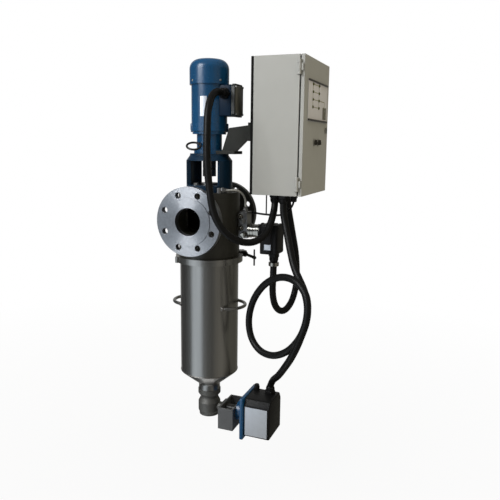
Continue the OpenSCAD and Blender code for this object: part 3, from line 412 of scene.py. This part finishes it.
def pan_screw(at, way):
    return turned([(0, 0), (3.5, 0), (3.4, 1.2), (2.4, 2.3), (0.9, 2.5), (0.8, 1.6), (0, 1.6)], at, way, 20)


def polar(r, angle, z):
    """A point at a radius, a bearing in degrees and a height."""
    turn = math.radians(angle)
    return r * math.cos(turn), r * math.sin(turn), z


bolts = [hex_bolt(polar(cover_bolt_r, 22.5 + 45 * k, cover_top)) for k in range(8)]
bolts += [hex_bolt(polar(foot_bolt_r, angle, foot_top)) for angle in (60, 120, 240, 300)]
bolts += [pan_screw((lid_face, y, lid_z + z), right) for y in (-24, 24) for z in (-38, 38)]
bolts += [pan_screw(polar(cowl_r, angle, cowl_screw_z), polar(1, angle, 0)) for angle in (59, 149, 239, 329)]
piece("bolts", joined(*bolts), zinc, "filter", ("fasteners",))

# The drive: a cast lantern with two windows, in a darker blue that is painted shade, the
# reducer's neck in blue enamel, and a jaw coupling with a rubber spider between the reducer's
# shaft and the scraper's. A forged eye on the reducer lifts the whole.
blue_enamel = surface("blue_enamel", (0.005, 0.064, 0.165), 0.25, drift=0.22, patch=0.06, grain=0.0015,
                      depth=0.14, edge=0.0014, worn=(0.03, 0.10, 0.21), coat=0.3)
# A darker copy of the blue enamel: painted shade for the lantern's shaded legs.
lantern_blue_painted_shade = surface("lantern_blue_painted_shade", (0.006, 0.026, 0.056), 0.36, drift=0.25, patch=0.05, grain=0.0018,
                    depth=0.2, edge=0.0014, worn=(0.02, 0.06, 0.12), shine=0.3)
dress("lantern", lantern_blue_painted_shade)
dress("gearbox_housing", blue_enamel)
dress("output_shaft", machined)
dress("coupling_hubs", machined)
rubber = surface("rubber", (0.02, 0.02, 0.02), 0.75, drift=0.2, patch=0.01)
dress("coupling_spider", rubber)
forged_black = surface("forged_black", (0.018, 0.018, 0.017), 0.4, drift=0.3, patch=0.02, depth=0.2,
                       edge=0.0008)
dress("lifting_eye", forged_black)

# The motor: a smooth rolled frame between two end shields, with four tie lugs low down, a
# rotor inside, and a pressed cowl over the fan. All blue enamel outside.
shield_z, lug_z = 255, 262
shield_band = [(53, 0), (53.6, 0.4), (53.6, 8.6), (53, 9)]
lug = [(0, -3), (4.6, -3), (5, -2), (5, 14), (4.2, 16), (0, 16)]
tie_end = [(0, -9), (2.6, -9), (3, -8), (3, -2), (0, -2)]
dress("motor_frame", blue_enamel)
dress("motor_rotor", machined)
dress("fan", moulded_black)
dress("fan_cowl", blue_enamel)
shield = [turned(shield_band, (0, 0, shield_z), up, 96)]
for angle in (15, 105, 195, 285):
    shield.append(turned(lug, polar(52.5, angle, lug_z), up, 20))
    shield.append(turned(tie_end, polar(53.5, angle, lug_z), up, 12))
piece("motor_lugs", joined(*shield), blue_enamel, "filter")

# The terminal box: a cast box on the motor's flank, in a darker blue that is painted shade,
# closed by a dark chamfered lid with a raised panel, a gasket line and four screws. The
# panel's lighter brownish grey is a painted reflection.
lid_mid = (0, lid_z)
case_face, lid_back, panel_back = 83.4, 84, 94.6


def solid_form(shape):
    """The (points, faces) of a bmesh, which is then let go."""
    shape.verts.index_update()
    points = [v.co.copy() for v in shape.verts]
    faces = [tuple(v.index for v in f.verts) for f in shape.faces]
    shape.free()
    return points, faces


def block(low, high, radius):
    """A box with rounded edges."""
    box = bmesh.new()
    bmesh.ops.create_cube(box, size=1)
    for v in box.verts:
        v.co = Vector([low[i] + (v.co[i] + 0.5) * (high[i] - low[i]) for i in range(3)])
    if radius:
        bmesh.ops.bevel(box, geom=list(box.edges), offset=radius, segments=3, profile=0.5,
                        affect="EDGES", clamp_overlap=True)
    return solid_form(box)


def chamfered_plate(x0, x1, half_w, half_h, cut, ease):
    """A plate with its four corners cut off and its outer edge eased."""
    w, h = half_w - cut, half_h - cut
    outline = [(-w, -half_h), (w, -half_h), (half_w, -h), (half_w, h),
               (w, half_h), (-w, half_h), (-half_w, h), (-half_w, -h)]
    rings = [(x0, 1.0), (x1 - ease, 1.0), (x1, 1 - ease / half_w)]
    points = [(x, lid_mid[0] + y * s, lid_mid[1] + z * s) for x, s in rings for y, z in outline]
    faces = [(k * 8 + i, k * 8 + (i + 1) % 8, (k + 1) * 8 + (i + 1) % 8, (k + 1) * 8 + i)
             for k in range(2) for i in range(8)]
    return points, faces + [tuple(range(8)), tuple(range(16, 24))]


# A darker copy of the motor's blue enamel: painted shade on the terminal box.
box_blue_painted_shade = surface("box_blue_painted_shade", (0.003, 0.014, 0.034), 0.36, drift=0.22, patch=0.05, grain=0.0015,
                   depth=0.14, edge=0.0014, worn=(0.02, 0.06, 0.12), shine=0.12)
piece("terminal_case", joined(block((43.7, -30, 298), (case_face, 30, 386), 3.5),
                              block((44, -22, 306), (58, 22, 378), 2.0)),
      box_blue_painted_shade, "filter", ("terminal_box",))
lid_paint = surface("lid_paint", (0.026, 0.030, 0.030), 0.34, drift=0.25, patch=0.03, depth=0.14, edge=0.001,
                    worn=(0.15, 0.15, 0.12))
piece("terminal_cover", chamfered_plate(lid_back, panel_back, 32, 46, 8, 1.2), lid_paint, "filter",
      ("terminal_lid",))
# The raised panel's lighter brownish grey is a painted reflection, not the lid's own paint.
panel_painted_reflection = surface("panel_painted_reflection", (0.14, 0.138, 0.118), 0.4, drift=0.25, patch=0.03, depth=0.1, edge=0.001)
piece("terminal_panel", chamfered_plate(panel_back, lid_face, 27, 41, 5, 0.8), panel_painted_reflection, "filter")
piece("terminal_gasket", chamfered_plate(case_face, lid_back, 30.5, 44.5, 8, 0.1), rubber, "filter")

# Rating plates: thin bare aluminium on the motor, the pressure switch and the actuator. They
# are left blank.
bare_plate = surface("bare_plate", (0.66, 0.70, 0.76), 0.35, metal=0.6, drift=0.06, patch=0.02, depth=0.05)
dress("blank_labels", bare_plate)

# The cabinet's bracket: bent and welded plate in dark olive paint, bolted under the reducer,
# carrying a black back plate for the cabinet.
bracket_paint = surface("bracket_paint", (0.018, 0.019, 0.016), 0.55, shine=0.25, drift=0.2, patch=0.04,
                        depth=0.15, edge=0.0012, worn=(0.16, 0.16, 0.14))
dress("bracket_arm", bracket_paint)
dull_black = surface("dull_black", (0.006, 0.006, 0.006), 0.7, drift=0.2, patch=0.04, depth=0.15, shine=0.1)
dress("back_plate", dull_black)

# The cabinet: folded sheet steel in light grey powder coat, with a pan door on two hinges,
# a foam seal, a quarter turn lock and a zinc plated mounting panel.
powder_grey = surface("powder_grey", (0.43, 0.435, 0.415), 0.5, drift=0.05, patch=0.08, grain=0.0009,
                      depth=0.25, edge=0.0020, worn=(0.50, 0.50, 0.48))
dress("cabinet_body", powder_grey)
dress("cabinet_door", powder_grey)
dress("door_seal", rubber)
dress("door_hinges", powder_grey)
dress("door_lock", zinc)
dress("mounting_panel", zinc)

# Inside the cabinet: three top hat rails carry three motor starters with their terminal screws,
# a controller beside its power supply, and a row of clamp terminals with a green earth one.
panel_face, rail_face, sheet = 157, 164, 1.4
rail_left, rail_right, rail_h = 2, 212, 30
device_back, starter_face, unit_face, clamp_face = 163.5, 205, 214, 194
starter_z, unit_z, clamp_z = (324.8, 399.8), (216.12, 296.12), (129.44, 177.44)
starter_w, unit_w, clamp_w = 45, 90, 11
device_grey = surface("device_grey", (0.045, 0.047, 0.05), 0.5, drift=0.2, patch=0.03, depth=0.1, edge=0.0008)
device_pale = surface("device_pale", (0.36, 0.37, 0.37), 0.45, drift=0.1, patch=0.03, depth=0.08, edge=0.0008)
terminal_beige = surface("terminal_beige", (0.40, 0.37, 0.29), 0.5, drift=0.15, patch=0.02, depth=0.08,
                         edge=0.0006)
earth_green = surface("earth_green", (0.10, 0.30, 0.07), 0.45, drift=0.15, patch=0.02, depth=0.08)
rails, cases, pale_faces, screws, clamps = [], [], [], [], []


def cheese_screw(x, y, z, r, h, count):
    """A flat screw head in a device's face, a little narrower at its top."""
    taper = 0.2 if r > 3 else 0.1
    return turned([(0, 0), (r, 0), (r - taper, h - 0.2), (0, h)], (x, y, z), right, count)


for z in (137.44, 241.12, 344.8):
    rails.append(block((panel_face, rail_left, z + 5), (panel_face + sheet, rail_right, z + rail_h), 0))
    for low, lip in ((z + 5, z), (z + rail_h - sheet, z + rail_h - sheet)):
        rails.append(block((panel_face, rail_left, low), (rail_face, rail_right, low + sheet), 0))
        rails.append(block((rail_face - sheet, rail_left, lip), (rail_face, rail_right, lip + 6.4), 0))
for y in (12, 72, 132):
    cases.append(block((device_back, y, starter_z[0]), (starter_face, y + starter_w, starter_z[1]), 1.5))
    pale_faces.append(block((starter_face - 1, y + 4, 340), (226, y + starter_w - 4, 385), 1.5))
    cases.append(block((225.5, y + 17, 356), (227, y + 28, 369), 0.5))
    screws += [cheese_screw(starter_face - 0.2, y + 9 + 13.5 * k, z, 3.6, 1.2, 16)
               for k in range(3) for z in (332, 392.5)]
cases.append(block((device_back, 12, unit_z[0]), (unit_face, 12 + unit_w, unit_z[1]), 1.5))
pale_faces.append(block((unit_face - 0.5, 22, 238), (unit_face + 3, 92, 274), 1.0))
pale_faces.append(block((device_back, 112, unit_z[0]), (unit_face, 112 + unit_w, unit_z[1]), 1.5))
cases.append(block((unit_face - 0.5, 120, 224), (unit_face + 3, 194, 250), 1.0))
screws += [cheese_screw(unit_face - 0.2, 21 + 10.3 * k, z, 2.6, 1.1, 14)
           for k in range(8) for z in (224, 288)]
for y in range(22, 191, 12):
    clamps.append(joined(block((device_back, y, clamp_z[0]), (clamp_face, y + clamp_w, clamp_z[1]), 0.8),
                         block((clamp_face - 1, y, 142), (202, y + clamp_w, 165), 0.8)))
    screws += [cheese_screw(clamp_face - 0.2, y + clamp_w / 2, z, 2.8, 1.0, 14) for z in (135.5, 171.5)]
piece("device_rails", joined(*rails), zinc, "filter")
piece("device_cases", joined(*cases), device_grey, "filter", ("inner_devices",))
piece("device_faces", joined(*pale_faces), device_pale, "filter")
piece("clamp_terminals", joined(*clamps[:-1]), terminal_beige, "filter")
piece("earth_terminal", clamps[-1], earth_green, "filter")
piece("device_screws", joined(*screws), zinc, "filter")

# The door's front: a pale mimic plate between two dark rails, lamps in two columns joined
# by thin printed flow lines, a small display, and two rotary switches below.
door_face, plate_face = 298, 300
plate_left, plate_right, plate_low, plate_high, trim_h = 8, 220, 287, 400, 5
lamp_columns, lamp_rows = (53, 119), (389, 368, 347, 326)
line_back, line_face, line_half = 299.8, 300.3, 0.9
panel_white = surface("panel_white", (0.76, 0.75, 0.78), 0.4, drift=0.05, patch=0.03, depth=0.05, edge=0.0006)
panel_dark = surface("panel_dark", (0.06, 0.058, 0.06), 0.35, drift=0.2, patch=0.02, depth=0.08)
display_grey = surface("display_grey", (0.17, 0.165, 0.13), 0.25, drift=0.15, patch=0.02, depth=0.04)
line_olive = surface("line_olive", (0.30, 0.30, 0.16), 0.5, drift=0.1, patch=0.02)
lamp_dark = surface("lamp_dark", (0.11, 0.12, 0.05), 0.2, drift=0.3, patch=0.01, coat=0.5)
piece("mimic_plate", block((door_face, plate_left, plate_low), (plate_face, plate_right, plate_high), 0.8),
      panel_white, "door", ("mimic_panel",))
trims = [block((door_face + 0.2, plate_left, z), (303, plate_right, z + trim_h), 1.0)
         for z in (plate_low, plate_high - trim_h)]
piece("mimic_rails", joined(*trims), panel_dark, "door")
piece("mimic_display", block((line_back, 167, 296), (301.6, 203, 331), 0.8), display_grey, "door")


def flow_line(y0, y1, z0, z1):
    """A thin printed line on the mimic plate."""
    return block((line_back, y0, z0), (line_face, y1, z1), 0)


lines = [flow_line(y - line_half, y + line_half, min(lamp_rows), max(lamp_rows)) for y in lamp_columns]
lines += [flow_line(*lamp_columns, z - line_half, z + line_half) for z in sorted(lamp_rows)]
lines += [flow_line(lamp_columns[1], 186, 346, 348), flow_line(184, 186, 331, 348)]
piece("mimic_lines", joined(*lines), line_olive, "door")
lens = [(4.4, 0), (4.4, 0.8), (3.9, 1.2), (3.7, 2.2), (2.6, 2.9), (0, 3.0)]
lamps = [turned(lens, (plate_face, y, z), right, 24) for y in lamp_columns for z in lamp_rows]
piece("lamps", joined(*lamps), lamp_dark, "door", ("indicator_lamps",))
bezel_grey = surface("bezel_grey", (0.30, 0.30, 0.28), 0.4, drift=0.1, patch=0.01, depth=0.06, edge=0.0006)
dress("selector_bases", bezel_grey)
knob_brown = surface("knob_brown", (0.045, 0.042, 0.035), 0.45, drift=0.15, patch=0.01, depth=0.06,
                     edge=0.0006)
dress("selector_knob_a", knob_brown)
dress("selector_knob_b", knob_brown)
for knob, y in (("knob_a", 87), ("knob_b", 127)):
    pointer = block((308.8, y - 0.8, 228), (309.8, y + 0.8, 233.4), 0.3)
    piece(knob + "_pointer", pointer, panel_white, knob)

# The pressure switch: a steel manifold bolted to the head, a nickel plated sensing body, and
# a black moulded case with its lid held by corner screws.
switch_y, switch_half, switch_low, switch_high = 20, 32, -101, -13
switch_left, switch_right = switch_y - switch_half, switch_y + switch_half
sensor = [(0, 0), (18.6, 0), (20, 1.4), (20, 3), (21.5, 3.6), (21.5, 8.6), (20, 9.2), (20, 17), (18.4, 17.8),
          (18.4, 20), (20, 20.8), (20, 29), (21.5, 30), (21.5, 35.4), (20, 36), (20, 38.4), (18.6, 39),
          (0, 39)]
collar = [(0, 0), (27, 0), (29, 2), (29, 6.5), (27.5, 8), (0, 8)]
lid_screw = [(0, 0), (4, 0), (4, 0.8), (2.2, 1.2), (2.2, 0.4), (0, 0.4)]
lock_ring = [(10.8, 0), (15, 0), (15.6, 0.8), (15.6, 10.2), (15, 11), (10.8, 11), (10.8, 0)]
nickel = surface("nickel", (0.42, 0.41, 0.37), 0.18, metal=1.0, drift=0.12, patch=0.01, grain=0.003,
                 depth=0.05)
dress("dp_manifold", machined)
piece("sensor_body", turned(sensor, (123, switch_y, -37), right, 64), nickel, "filter",
      ("dp_body",))
case = [turned(collar, (162, switch_y, -40), right, 48),
        block((169.5, switch_left, switch_low), (207, switch_right, switch_high), 4.0),
        block((207.8, switch_left, switch_low), (224, switch_right, switch_high), 5.0),
        block((206, switch_left + 2, switch_low + 2), (209, switch_right - 2, switch_high - 2), 0.5)]
case += [turned(lid_screw, (223.8, y, z), right, 20) for y in (-3, 43) for z in (-92, -22)]
piece("switch_case", joined(*case), moulded_black, "filter", ("dp_housing",))
piece("gland_ring", turned(lock_ring, (204, switch_y, -139), up, 40), nickel, "filter")

# The impulse tube: bright bent steel tube from a tapping in the cover to the manifold, held
# by compression nuts at both ends; a plugged tapping sits on the manifold's side.
tube_r = 3.0
bent = [(76.28, -48.55, 87), (88, -41.8, 87), (102, -30, 86), (112, -14, 77), (114, 3, 62), (114, 10, 48),
        (114, 10, 34.3)]
bright_tube = surface("bright_tube", (0.60, 0.60, 0.57), 0.3, metal=0.5, drift=0.1, patch=0.01, depth=0.04)
piece("bent_tube", sweep(smooth_line(bent, 10), lambda k: tube_r, 16), bright_tube, "filter",
      ("impulse_tube",), crease=80)


def compression_nut(at, way):
    hexagon = turned([(0, 0), (7.8, 0), (9, 1), (9, 7.4), (7.8, 8.4), (0, 8.4)], at, way, 6)
    collar = turned([(0, 8.4), (6.5, 8.4), (6.5, 12.6), (5.2, 14), (0, 14)], at, way, 28)
    return joined(hexagon, collar)


tapping = [(0, 0), (7, 0), (7, 14.8), (5.8, 16), (0, 16)]
nuts = [turned(tapping, (58.7, -58.7, cover_top), up, 28),
        compression_nut((63.9, -55.7, 87), (0.866, 0.5, 0)),
        compression_nut((114, 10, 20), up), compression_nut((109.5, 2, -8), front)]
piece("compression_nuts", joined(*nuts), machined, "filter", ("tube_fittings",))

# Small fittings on the manifold: two needle valves and an elbow in plated steel, and a thin
# black sensing tube from the head's outlet side to the cabinet, with a stay that hangs from
# the cabinet's foot.
stay_x, stay_y, stay_end, stay_r = 170, 40, 12, 2.0
needle = [(0, 0), (7.2, 0), (7.8, 0.8), (7.8, 4.6), (7.2, 5.4), (4.6, 5.6), (4.6, 11), (6.2, 11.4), (6.4, 15),
          (0, 15.6)]
elbow = [(0, 0), (8.6, 0), (9.4, 1.4), (9.4, 8), (8, 11), (0, 12.5)]
valves = [turned(needle, (103, 2, 6), (-0.3, -1, 0.1), 20), turned(needle, (105, 2, -30), (-0.2, -1, 0), 20),
          turned(elbow, (113, 2, -47), (0.1, -1, -0.3), 28)]
piece("needle_valves", joined(*valves), nickel, "filter")
thin_line = [(76, 50, 12), (100, 62, 12), (124, 62, 12), (146, 48, 12), (166, 40, 12), (196, 34, 12),
             (222, 28, 15), (244, 22, 27), (258, 18, 45), (262, 18, 57)]
stay = [Vector((stay_x, stay_y, z)) for z in (cabinet_foot, 44, stay_end)]
piece("sensing_tube", joined(sweep(smooth_line(thin_line, 6), lambda k: tube_r, 12),
                             sweep(stay, lambda k: stay_r, 12)),
      moulded_black, "filter", crease=80)

# The shell: rolled and brushed stainless sheet with a ferrule on top, a pressed cone welded
# below and a drain spigot. The brushing runs up and down and shows as soft vertical bands.
seam_r, seam_z, seam_bead = 89.8, -487.6, 1.3
profile = [(86, -128), (96.4, -128), (97, -128.6), (97, -131.8), (96, -133), (91.2, -134), (90.3, -135.4),
           (90, -137.4), (90, -484), (89.6, -488), (88.2, -491), (38, -532.6), (35, -536), (34, -540),
           (34, -556), (20, -556), (20, -538), (86, -486), (86, -128)]
shell_steel = surface("shell_steel", (0.38, 0.375, 0.36), 0.30, metal=1.0, drift=0.28, patch=0.02,
                      grain=0.0012, depth=0.10, spread=0.08, stretch=(1, 1, 0.02))
piece("brushed_shell", turned(profile, count=128), shell_steel, "filter", ("shell",),
      crease=50)
weld_steel = surface("weld_steel", (0.36, 0.34, 0.32), 0.42, metal=1.0, drift=0.3, patch=0.004, depth=0.2)
seam = [Vector(polar(seam_r, 2 * k, seam_z)) for k in range(181)]
rippled = sweep(seam, lambda k: seam_bead + 0.12 * math.sin(k * 2.3), 8)
piece("cone_weld", rippled, weld_steel, "filter", crease=70)

# The handles: bent stainless rod, one bow on each side of the shell. The rod's ends are
# welded to the sheet, each with a small fillet.
bow_mid, bow_r, bow_z, bow_half, bow_steps = 62, 55, -270, 118, 40
rod_r, buried_r = 5.0, 86.5
fillet = [(0, -2), (7.6, -2), (7.4, 2.5), (6.4, 4.6), (5.2, 6.4), (0, 6.4)]
rods, fillets = [], []
for side in (1, -1):
    arc = []
    for k in range(bow_steps + 1):
        turn = math.radians(-bow_half + 2 * bow_half * k / bow_steps)
        arc.append(Vector((side * (bow_mid + bow_r * math.cos(turn)), bow_r * math.sin(turn), bow_z)))
    arc = [p for p in arc if math.hypot(p.x, p.y) > buried_r]
    rods.append(sweep(arc, lambda k: rod_r, 18))
    fillets += [turned(fillet, arc[0], arc[1] - arc[0], 24), turned(fillet, arc[-1], arc[-2] - arc[-1], 24)]
piece("handle_rods", joined(*rods), shell_steel, "filter", ("shell_handles",), crease=80)
piece("handle_welds", joined(*fillets), weld_steel, "filter", crease=60)

# The clamp: a rolled stainless ring that pulls the shell's ferrule to the head's over a rubber
# gasket, closed by a long screw with a sliding tommy bar.
dress("clamp_ring", shell_steel)
dress("clamp_bolt", forged_black)
dress("body_seal", rubber)

# Inside the shell: a slotted screen basket, and the scraper's shaft, arms and white blades
# that sweep its inner face.
dress("filter_screen", shell_steel)
dress("scraper_shaft", machined)
dress("scraper_arms", machined)
blade_white = surface("blade_white", (0.78, 0.78, 0.75), 0.5, drift=0.06, patch=0.02)
dress("scraper_blades", blade_white)

# The drain valve: a blasted stainless ball valve screwed to the spigot, with its ball, seats
# and stem. A grey steel bracket at its side holds the actuator round the stem's coupling, whose
# black finish is painted shade inside the bracket.
cast_steel = surface("cast_steel", (0.14, 0.139, 0.131), 0.55, metal=0.7, drift=0.25, patch=0.012,
                     grain=0.0012, depth=0.5, edge=0.001)
dress("valve_body", cast_steel)
dress("valve_seats", blade_white)
dress("ball", nickel)
dress("stem", machined)
# The coupling's black finish is painted shade for the inside of the bracket.
dress("stem_coupling", forged_black)
bracket_grey = surface("bracket_grey", (0.085, 0.088, 0.092), 0.4, drift=0.15, patch=0.03, depth=0.12,
                       edge=0.001, worn=(0.3, 0.3, 0.3))
dress("valve_bracket", bracket_grey)

# The actuator: a blue cast base that bolts to the bracket, and a black moulded cover with
# rounded corners and a parting line against the base.
stem_z, base_face = -613.33, 142
boss = [(9, 0), (31, 0), (32, 1), (32, 26), (9, 26), (9, 0)]
base = [turned(boss, (104, 0, stem_z), right, 64), block((130, -62, -680.33), (base_face, 62, -546.33), 3.0)]
piece("actuator_plate", joined(*base), blue_enamel, "filter", ("actuator_base",))


def sloped_case(x0, x1, half_y, low, high, slope, ease):
    """A moulded case: upright sides, two long slopes at the top, and a rounded end face."""
    flat = half_y - 0.6 * slope
    outline = [(-half_y, low), (half_y, low), (half_y, high - slope), (flat, high), (-flat, high),
               (-half_y, high - slope)]
    shape = bmesh.new()
    near = [shape.verts.new((x0, y, z)) for y, z in outline]
    far = [shape.verts.new((x1, y, z)) for y, z in outline]
    shape.faces.new(near)
    shape.faces.new(far[::-1])
    for k in range(6):
        shape.faces.new((near[k], near[(k + 1) % 6], far[(k + 1) % 6], far[k]))
    outer = [e for e in shape.edges if max(v.co.x for v in e.verts) > x0 + 1]
    bmesh.ops.bevel(shape, geom=outer, offset=ease, segments=4, profile=0.5, affect="EDGES",
                    clamp_overlap=True)
    return solid_form(shape)


cover = [sloped_case(base_face + 0.6, 226, 54, -669.33, actuator_top, 20, 4),
         block((base_face, -50, -664), (base_face + 1, 50, -572), 0)]
piece("actuator_case", joined(*cover), moulded_black, "filter", ("actuator_cover",))

# The setting: a plain pale floor and soft studio light from the front left. Grey studio
# screens stand round the object and one hangs over it, seen only as reflections, so that
# bright metal and black plastic read as they should.
floor_z, screen_foot, screen_top, screen_r = -0.86, -0.855, 5.0, 4
middle = (0.1, 0.1, 0.0)
bpy.ops.mesh.primitive_plane_add(size=30, location=(0, 0, floor_z))
floor = bpy.context.object
floor.name = "floor"
pale = bpy.data.materials.new("pale_floor")
pale.use_nodes = True
nodes, links = pale.node_tree.nodes, pale.node_tree.links


def larger(nodes, links, one, other):
    """The larger of two values in a node tree."""
    most = nodes.new("ShaderNodeMath")
    most.operation = "MAXIMUM"
    links.new(one, most.inputs[0])
    links.new(other, most.inputs[1])
    return most.outputs["Value"]


nodes["Principled BSDF"].inputs["Base Color"].default_value = (0.5, 0.5, 0.5, 1)
nodes["Principled BSDF"].inputs["Roughness"].default_value = 0.9
glow = nodes.new("ShaderNodeEmission")
ray = nodes.new("ShaderNodeLightPath")
share = larger(nodes, links, ray.outputs["Is Camera Ray"], ray.outputs["Is Glossy Ray"])
place = nodes.new("ShaderNodeTexCoord")
away = nodes.new("ShaderNodeVectorMath")
away.operation = "LENGTH"
links.new(place.outputs["Object"], away.inputs[0])
fade = nodes.new("ShaderNodeMapRange")
fade.inputs["From Min"].default_value = 0.5
fade.inputs["From Max"].default_value = 2.5
fade.inputs["To Min"].default_value = 0.92
links.new(away.outputs["Value"], fade.inputs["Value"])
part_white = nodes.new("ShaderNodeMath")
part_white.operation = "MULTIPLY"
links.new(share, part_white.inputs[0])
links.new(fade.outputs["Result"], part_white.inputs[1])
both = nodes.new("ShaderNodeMixShader")
links.new(part_white.outputs["Value"], both.inputs["Fac"])
links.new(nodes["Principled BSDF"].outputs["BSDF"], both.inputs[1])
links.new(glow.outputs["Emission"], both.inputs[2])
links.new(both.outputs["Shader"], nodes["Material Output"].inputs["Surface"])
floor.data.materials.append(pale)


def soft_box(name, place, size, power, colour=(1, 1, 1), mirrored=True):
    """A rectangular lamp aimed at the object; a lamp that isn't mirrored leaves no highlight."""
    lamp = bpy.data.lights.new(name, "AREA")
    lamp.color = colour
    lamp.shape = "RECTANGLE"
    lamp.size, lamp.size_y = size
    lamp.energy = power
    made = bpy.data.objects.new(name, lamp)
    made.location = place
    made.rotation_mode = "QUATERNION"
    made.rotation_quaternion = (Vector(middle) - Vector(place)).to_track_quat("-Z", "Y")
    made.visible_glossy = mirrored
    bpy.context.scene.collection.objects.link(made)


soft_box("front_left_light", (-1.5, -2.4, 1.7), (1.6, 2.0), 73)
soft_box("top_light", (0.3, 0.2, 2.6), (2.4, 2.4), 30, mirrored=False)
soft_box("right_light", (2.6, -0.8, 0.8), (1.0, 2.0), 6.5, (1, 0.9, 0.7), mirrored=False)


def screen(name, first, last, colour, rise):
    """A curved grey screen between two bearings about the filter, through (radius, height) pairs."""
    bend = [math.radians(first + (last - first) * k / 16) for k in range(17)]
    points = [(r * math.cos(t), 0.14 + r * math.sin(t), z) for r, z in rise for t in bend]
    mesh = bpy.data.meshes.new(name)
    mesh.from_pydata(points, [], [(k, k + 1, k + 18, k + 17) for k in (*range(16), *range(17, 33))])
    paint = bpy.data.materials.new(name)
    paint.use_nodes = True
    shader = paint.node_tree.nodes["Principled BSDF"]
    shader.inputs["Base Color"].default_value = (0, 0, 0, 1)
    shader.inputs["Specular IOR Level"].default_value = 0.0
    shader.inputs["Emission Color"].default_value = (*colour, 1)
    shader.inputs["Emission Strength"].default_value = 1.0
    mesh.materials.append(paint)
    made = bpy.data.objects.new(name, mesh)
    made.visible_camera = made.visible_diffuse = made.visible_shadow = False
    bpy.context.scene.collection.objects.link(made)


upright = ((0.11, screen_foot), (screen_r, screen_foot), (screen_r, screen_top))
overhead = ((screen_r, screen_top), (screen_r / 2, screen_top), (0.01, screen_top))
for name, first, last, colour, rise in (
        ("front_screen", -94, -44, (0.12, 0.12, 0.115), upright),
        ("side_screen", -44, 4, (0.22, 0.21, 0.185), upright),
        ("right_screen", 4, 85, (0.13, 0.125, 0.105), upright),
        ("far_screen", 85, 150, (0.34, 0.34, 0.33), upright),
        ("back_screen", 150, 196, (0.06, 0.06, 0.06), upright),
        ("left_screen", 196, 222, (0.09, 0.095, 0.095), upright),
        ("pale_screen", 222, 266, (0.84, 0.92, 1.0), upright),
        ("ceiling_screen", 0, 360, (0.14, 0.14, 0.14), overhead)):
    screen(name, first, last, colour, rise)

# The room's own light: neutral on the left and warm on the right, weakest at the front right.
# The camera and mirror-like surfaces see plain white in its place.
world = bpy.data.worlds.new("studio")
bpy.context.scene.world = world
world.use_nodes = True
nodes, links = world.node_tree.nodes, world.node_tree.links
room = nodes["Background"]
place = nodes.new("ShaderNodeTexCoord")
split = nodes.new("ShaderNodeSeparateXYZ")
links.new(place.outputs["Generated"], split.inputs["Vector"])
across = nodes.new("ShaderNodeMapRange")
across.inputs["From Min"].default_value = -0.6
across.inputs["From Max"].default_value = 0.9
links.new(split.outputs["X"], across.inputs["Value"])
air = nodes.new("ShaderNodeMix")
air.data_type = "RGBA"
air.inputs[mix_a].default_value = (0.97, 1.0, 1.03, 1)
air.inputs[mix_b].default_value = (1.0, 0.83, 0.46, 1)
links.new(across.outputs["Result"], air.inputs[0])
links.new(air.outputs[mix_out], room.inputs["Color"])
shaded = nodes.new("ShaderNodeVectorMath")
shaded.operation = "DOT_PRODUCT"
shaded.inputs[1].default_value = (0.7, -0.7, 0)
links.new(place.outputs["Generated"], shaded.inputs[0])
level = nodes.new("ShaderNodeMapRange")
level.inputs["From Max"].default_value = 0.8
level.inputs["To Min"].default_value = 0.62
level.inputs["To Max"].default_value = 0.18
links.new(shaded.outputs["Value"], level.inputs["Value"])
links.new(level.outputs["Result"], room.inputs["Strength"])
white = nodes.new("ShaderNodeBackground")
white.inputs["Color"].default_value = (1, 1, 1, 1)
ray = nodes.new("ShaderNodeLightPath")
seen = larger(nodes, links, ray.outputs["Is Camera Ray"], ray.outputs["Is Transmission Ray"])
either = nodes.new("ShaderNodeMixShader")
links.new(larger(nodes, links, seen, ray.outputs["Is Glossy Ray"]), either.inputs["Fac"])
links.new(room.outputs["Background"], either.inputs[1])
links.new(white.outputs["Background"], either.inputs[2])
links.new(either.outputs["Shader"], nodes["World Output"].inputs["Surface"])
bpy.context.scene.view_settings.view_transform = "Standard"
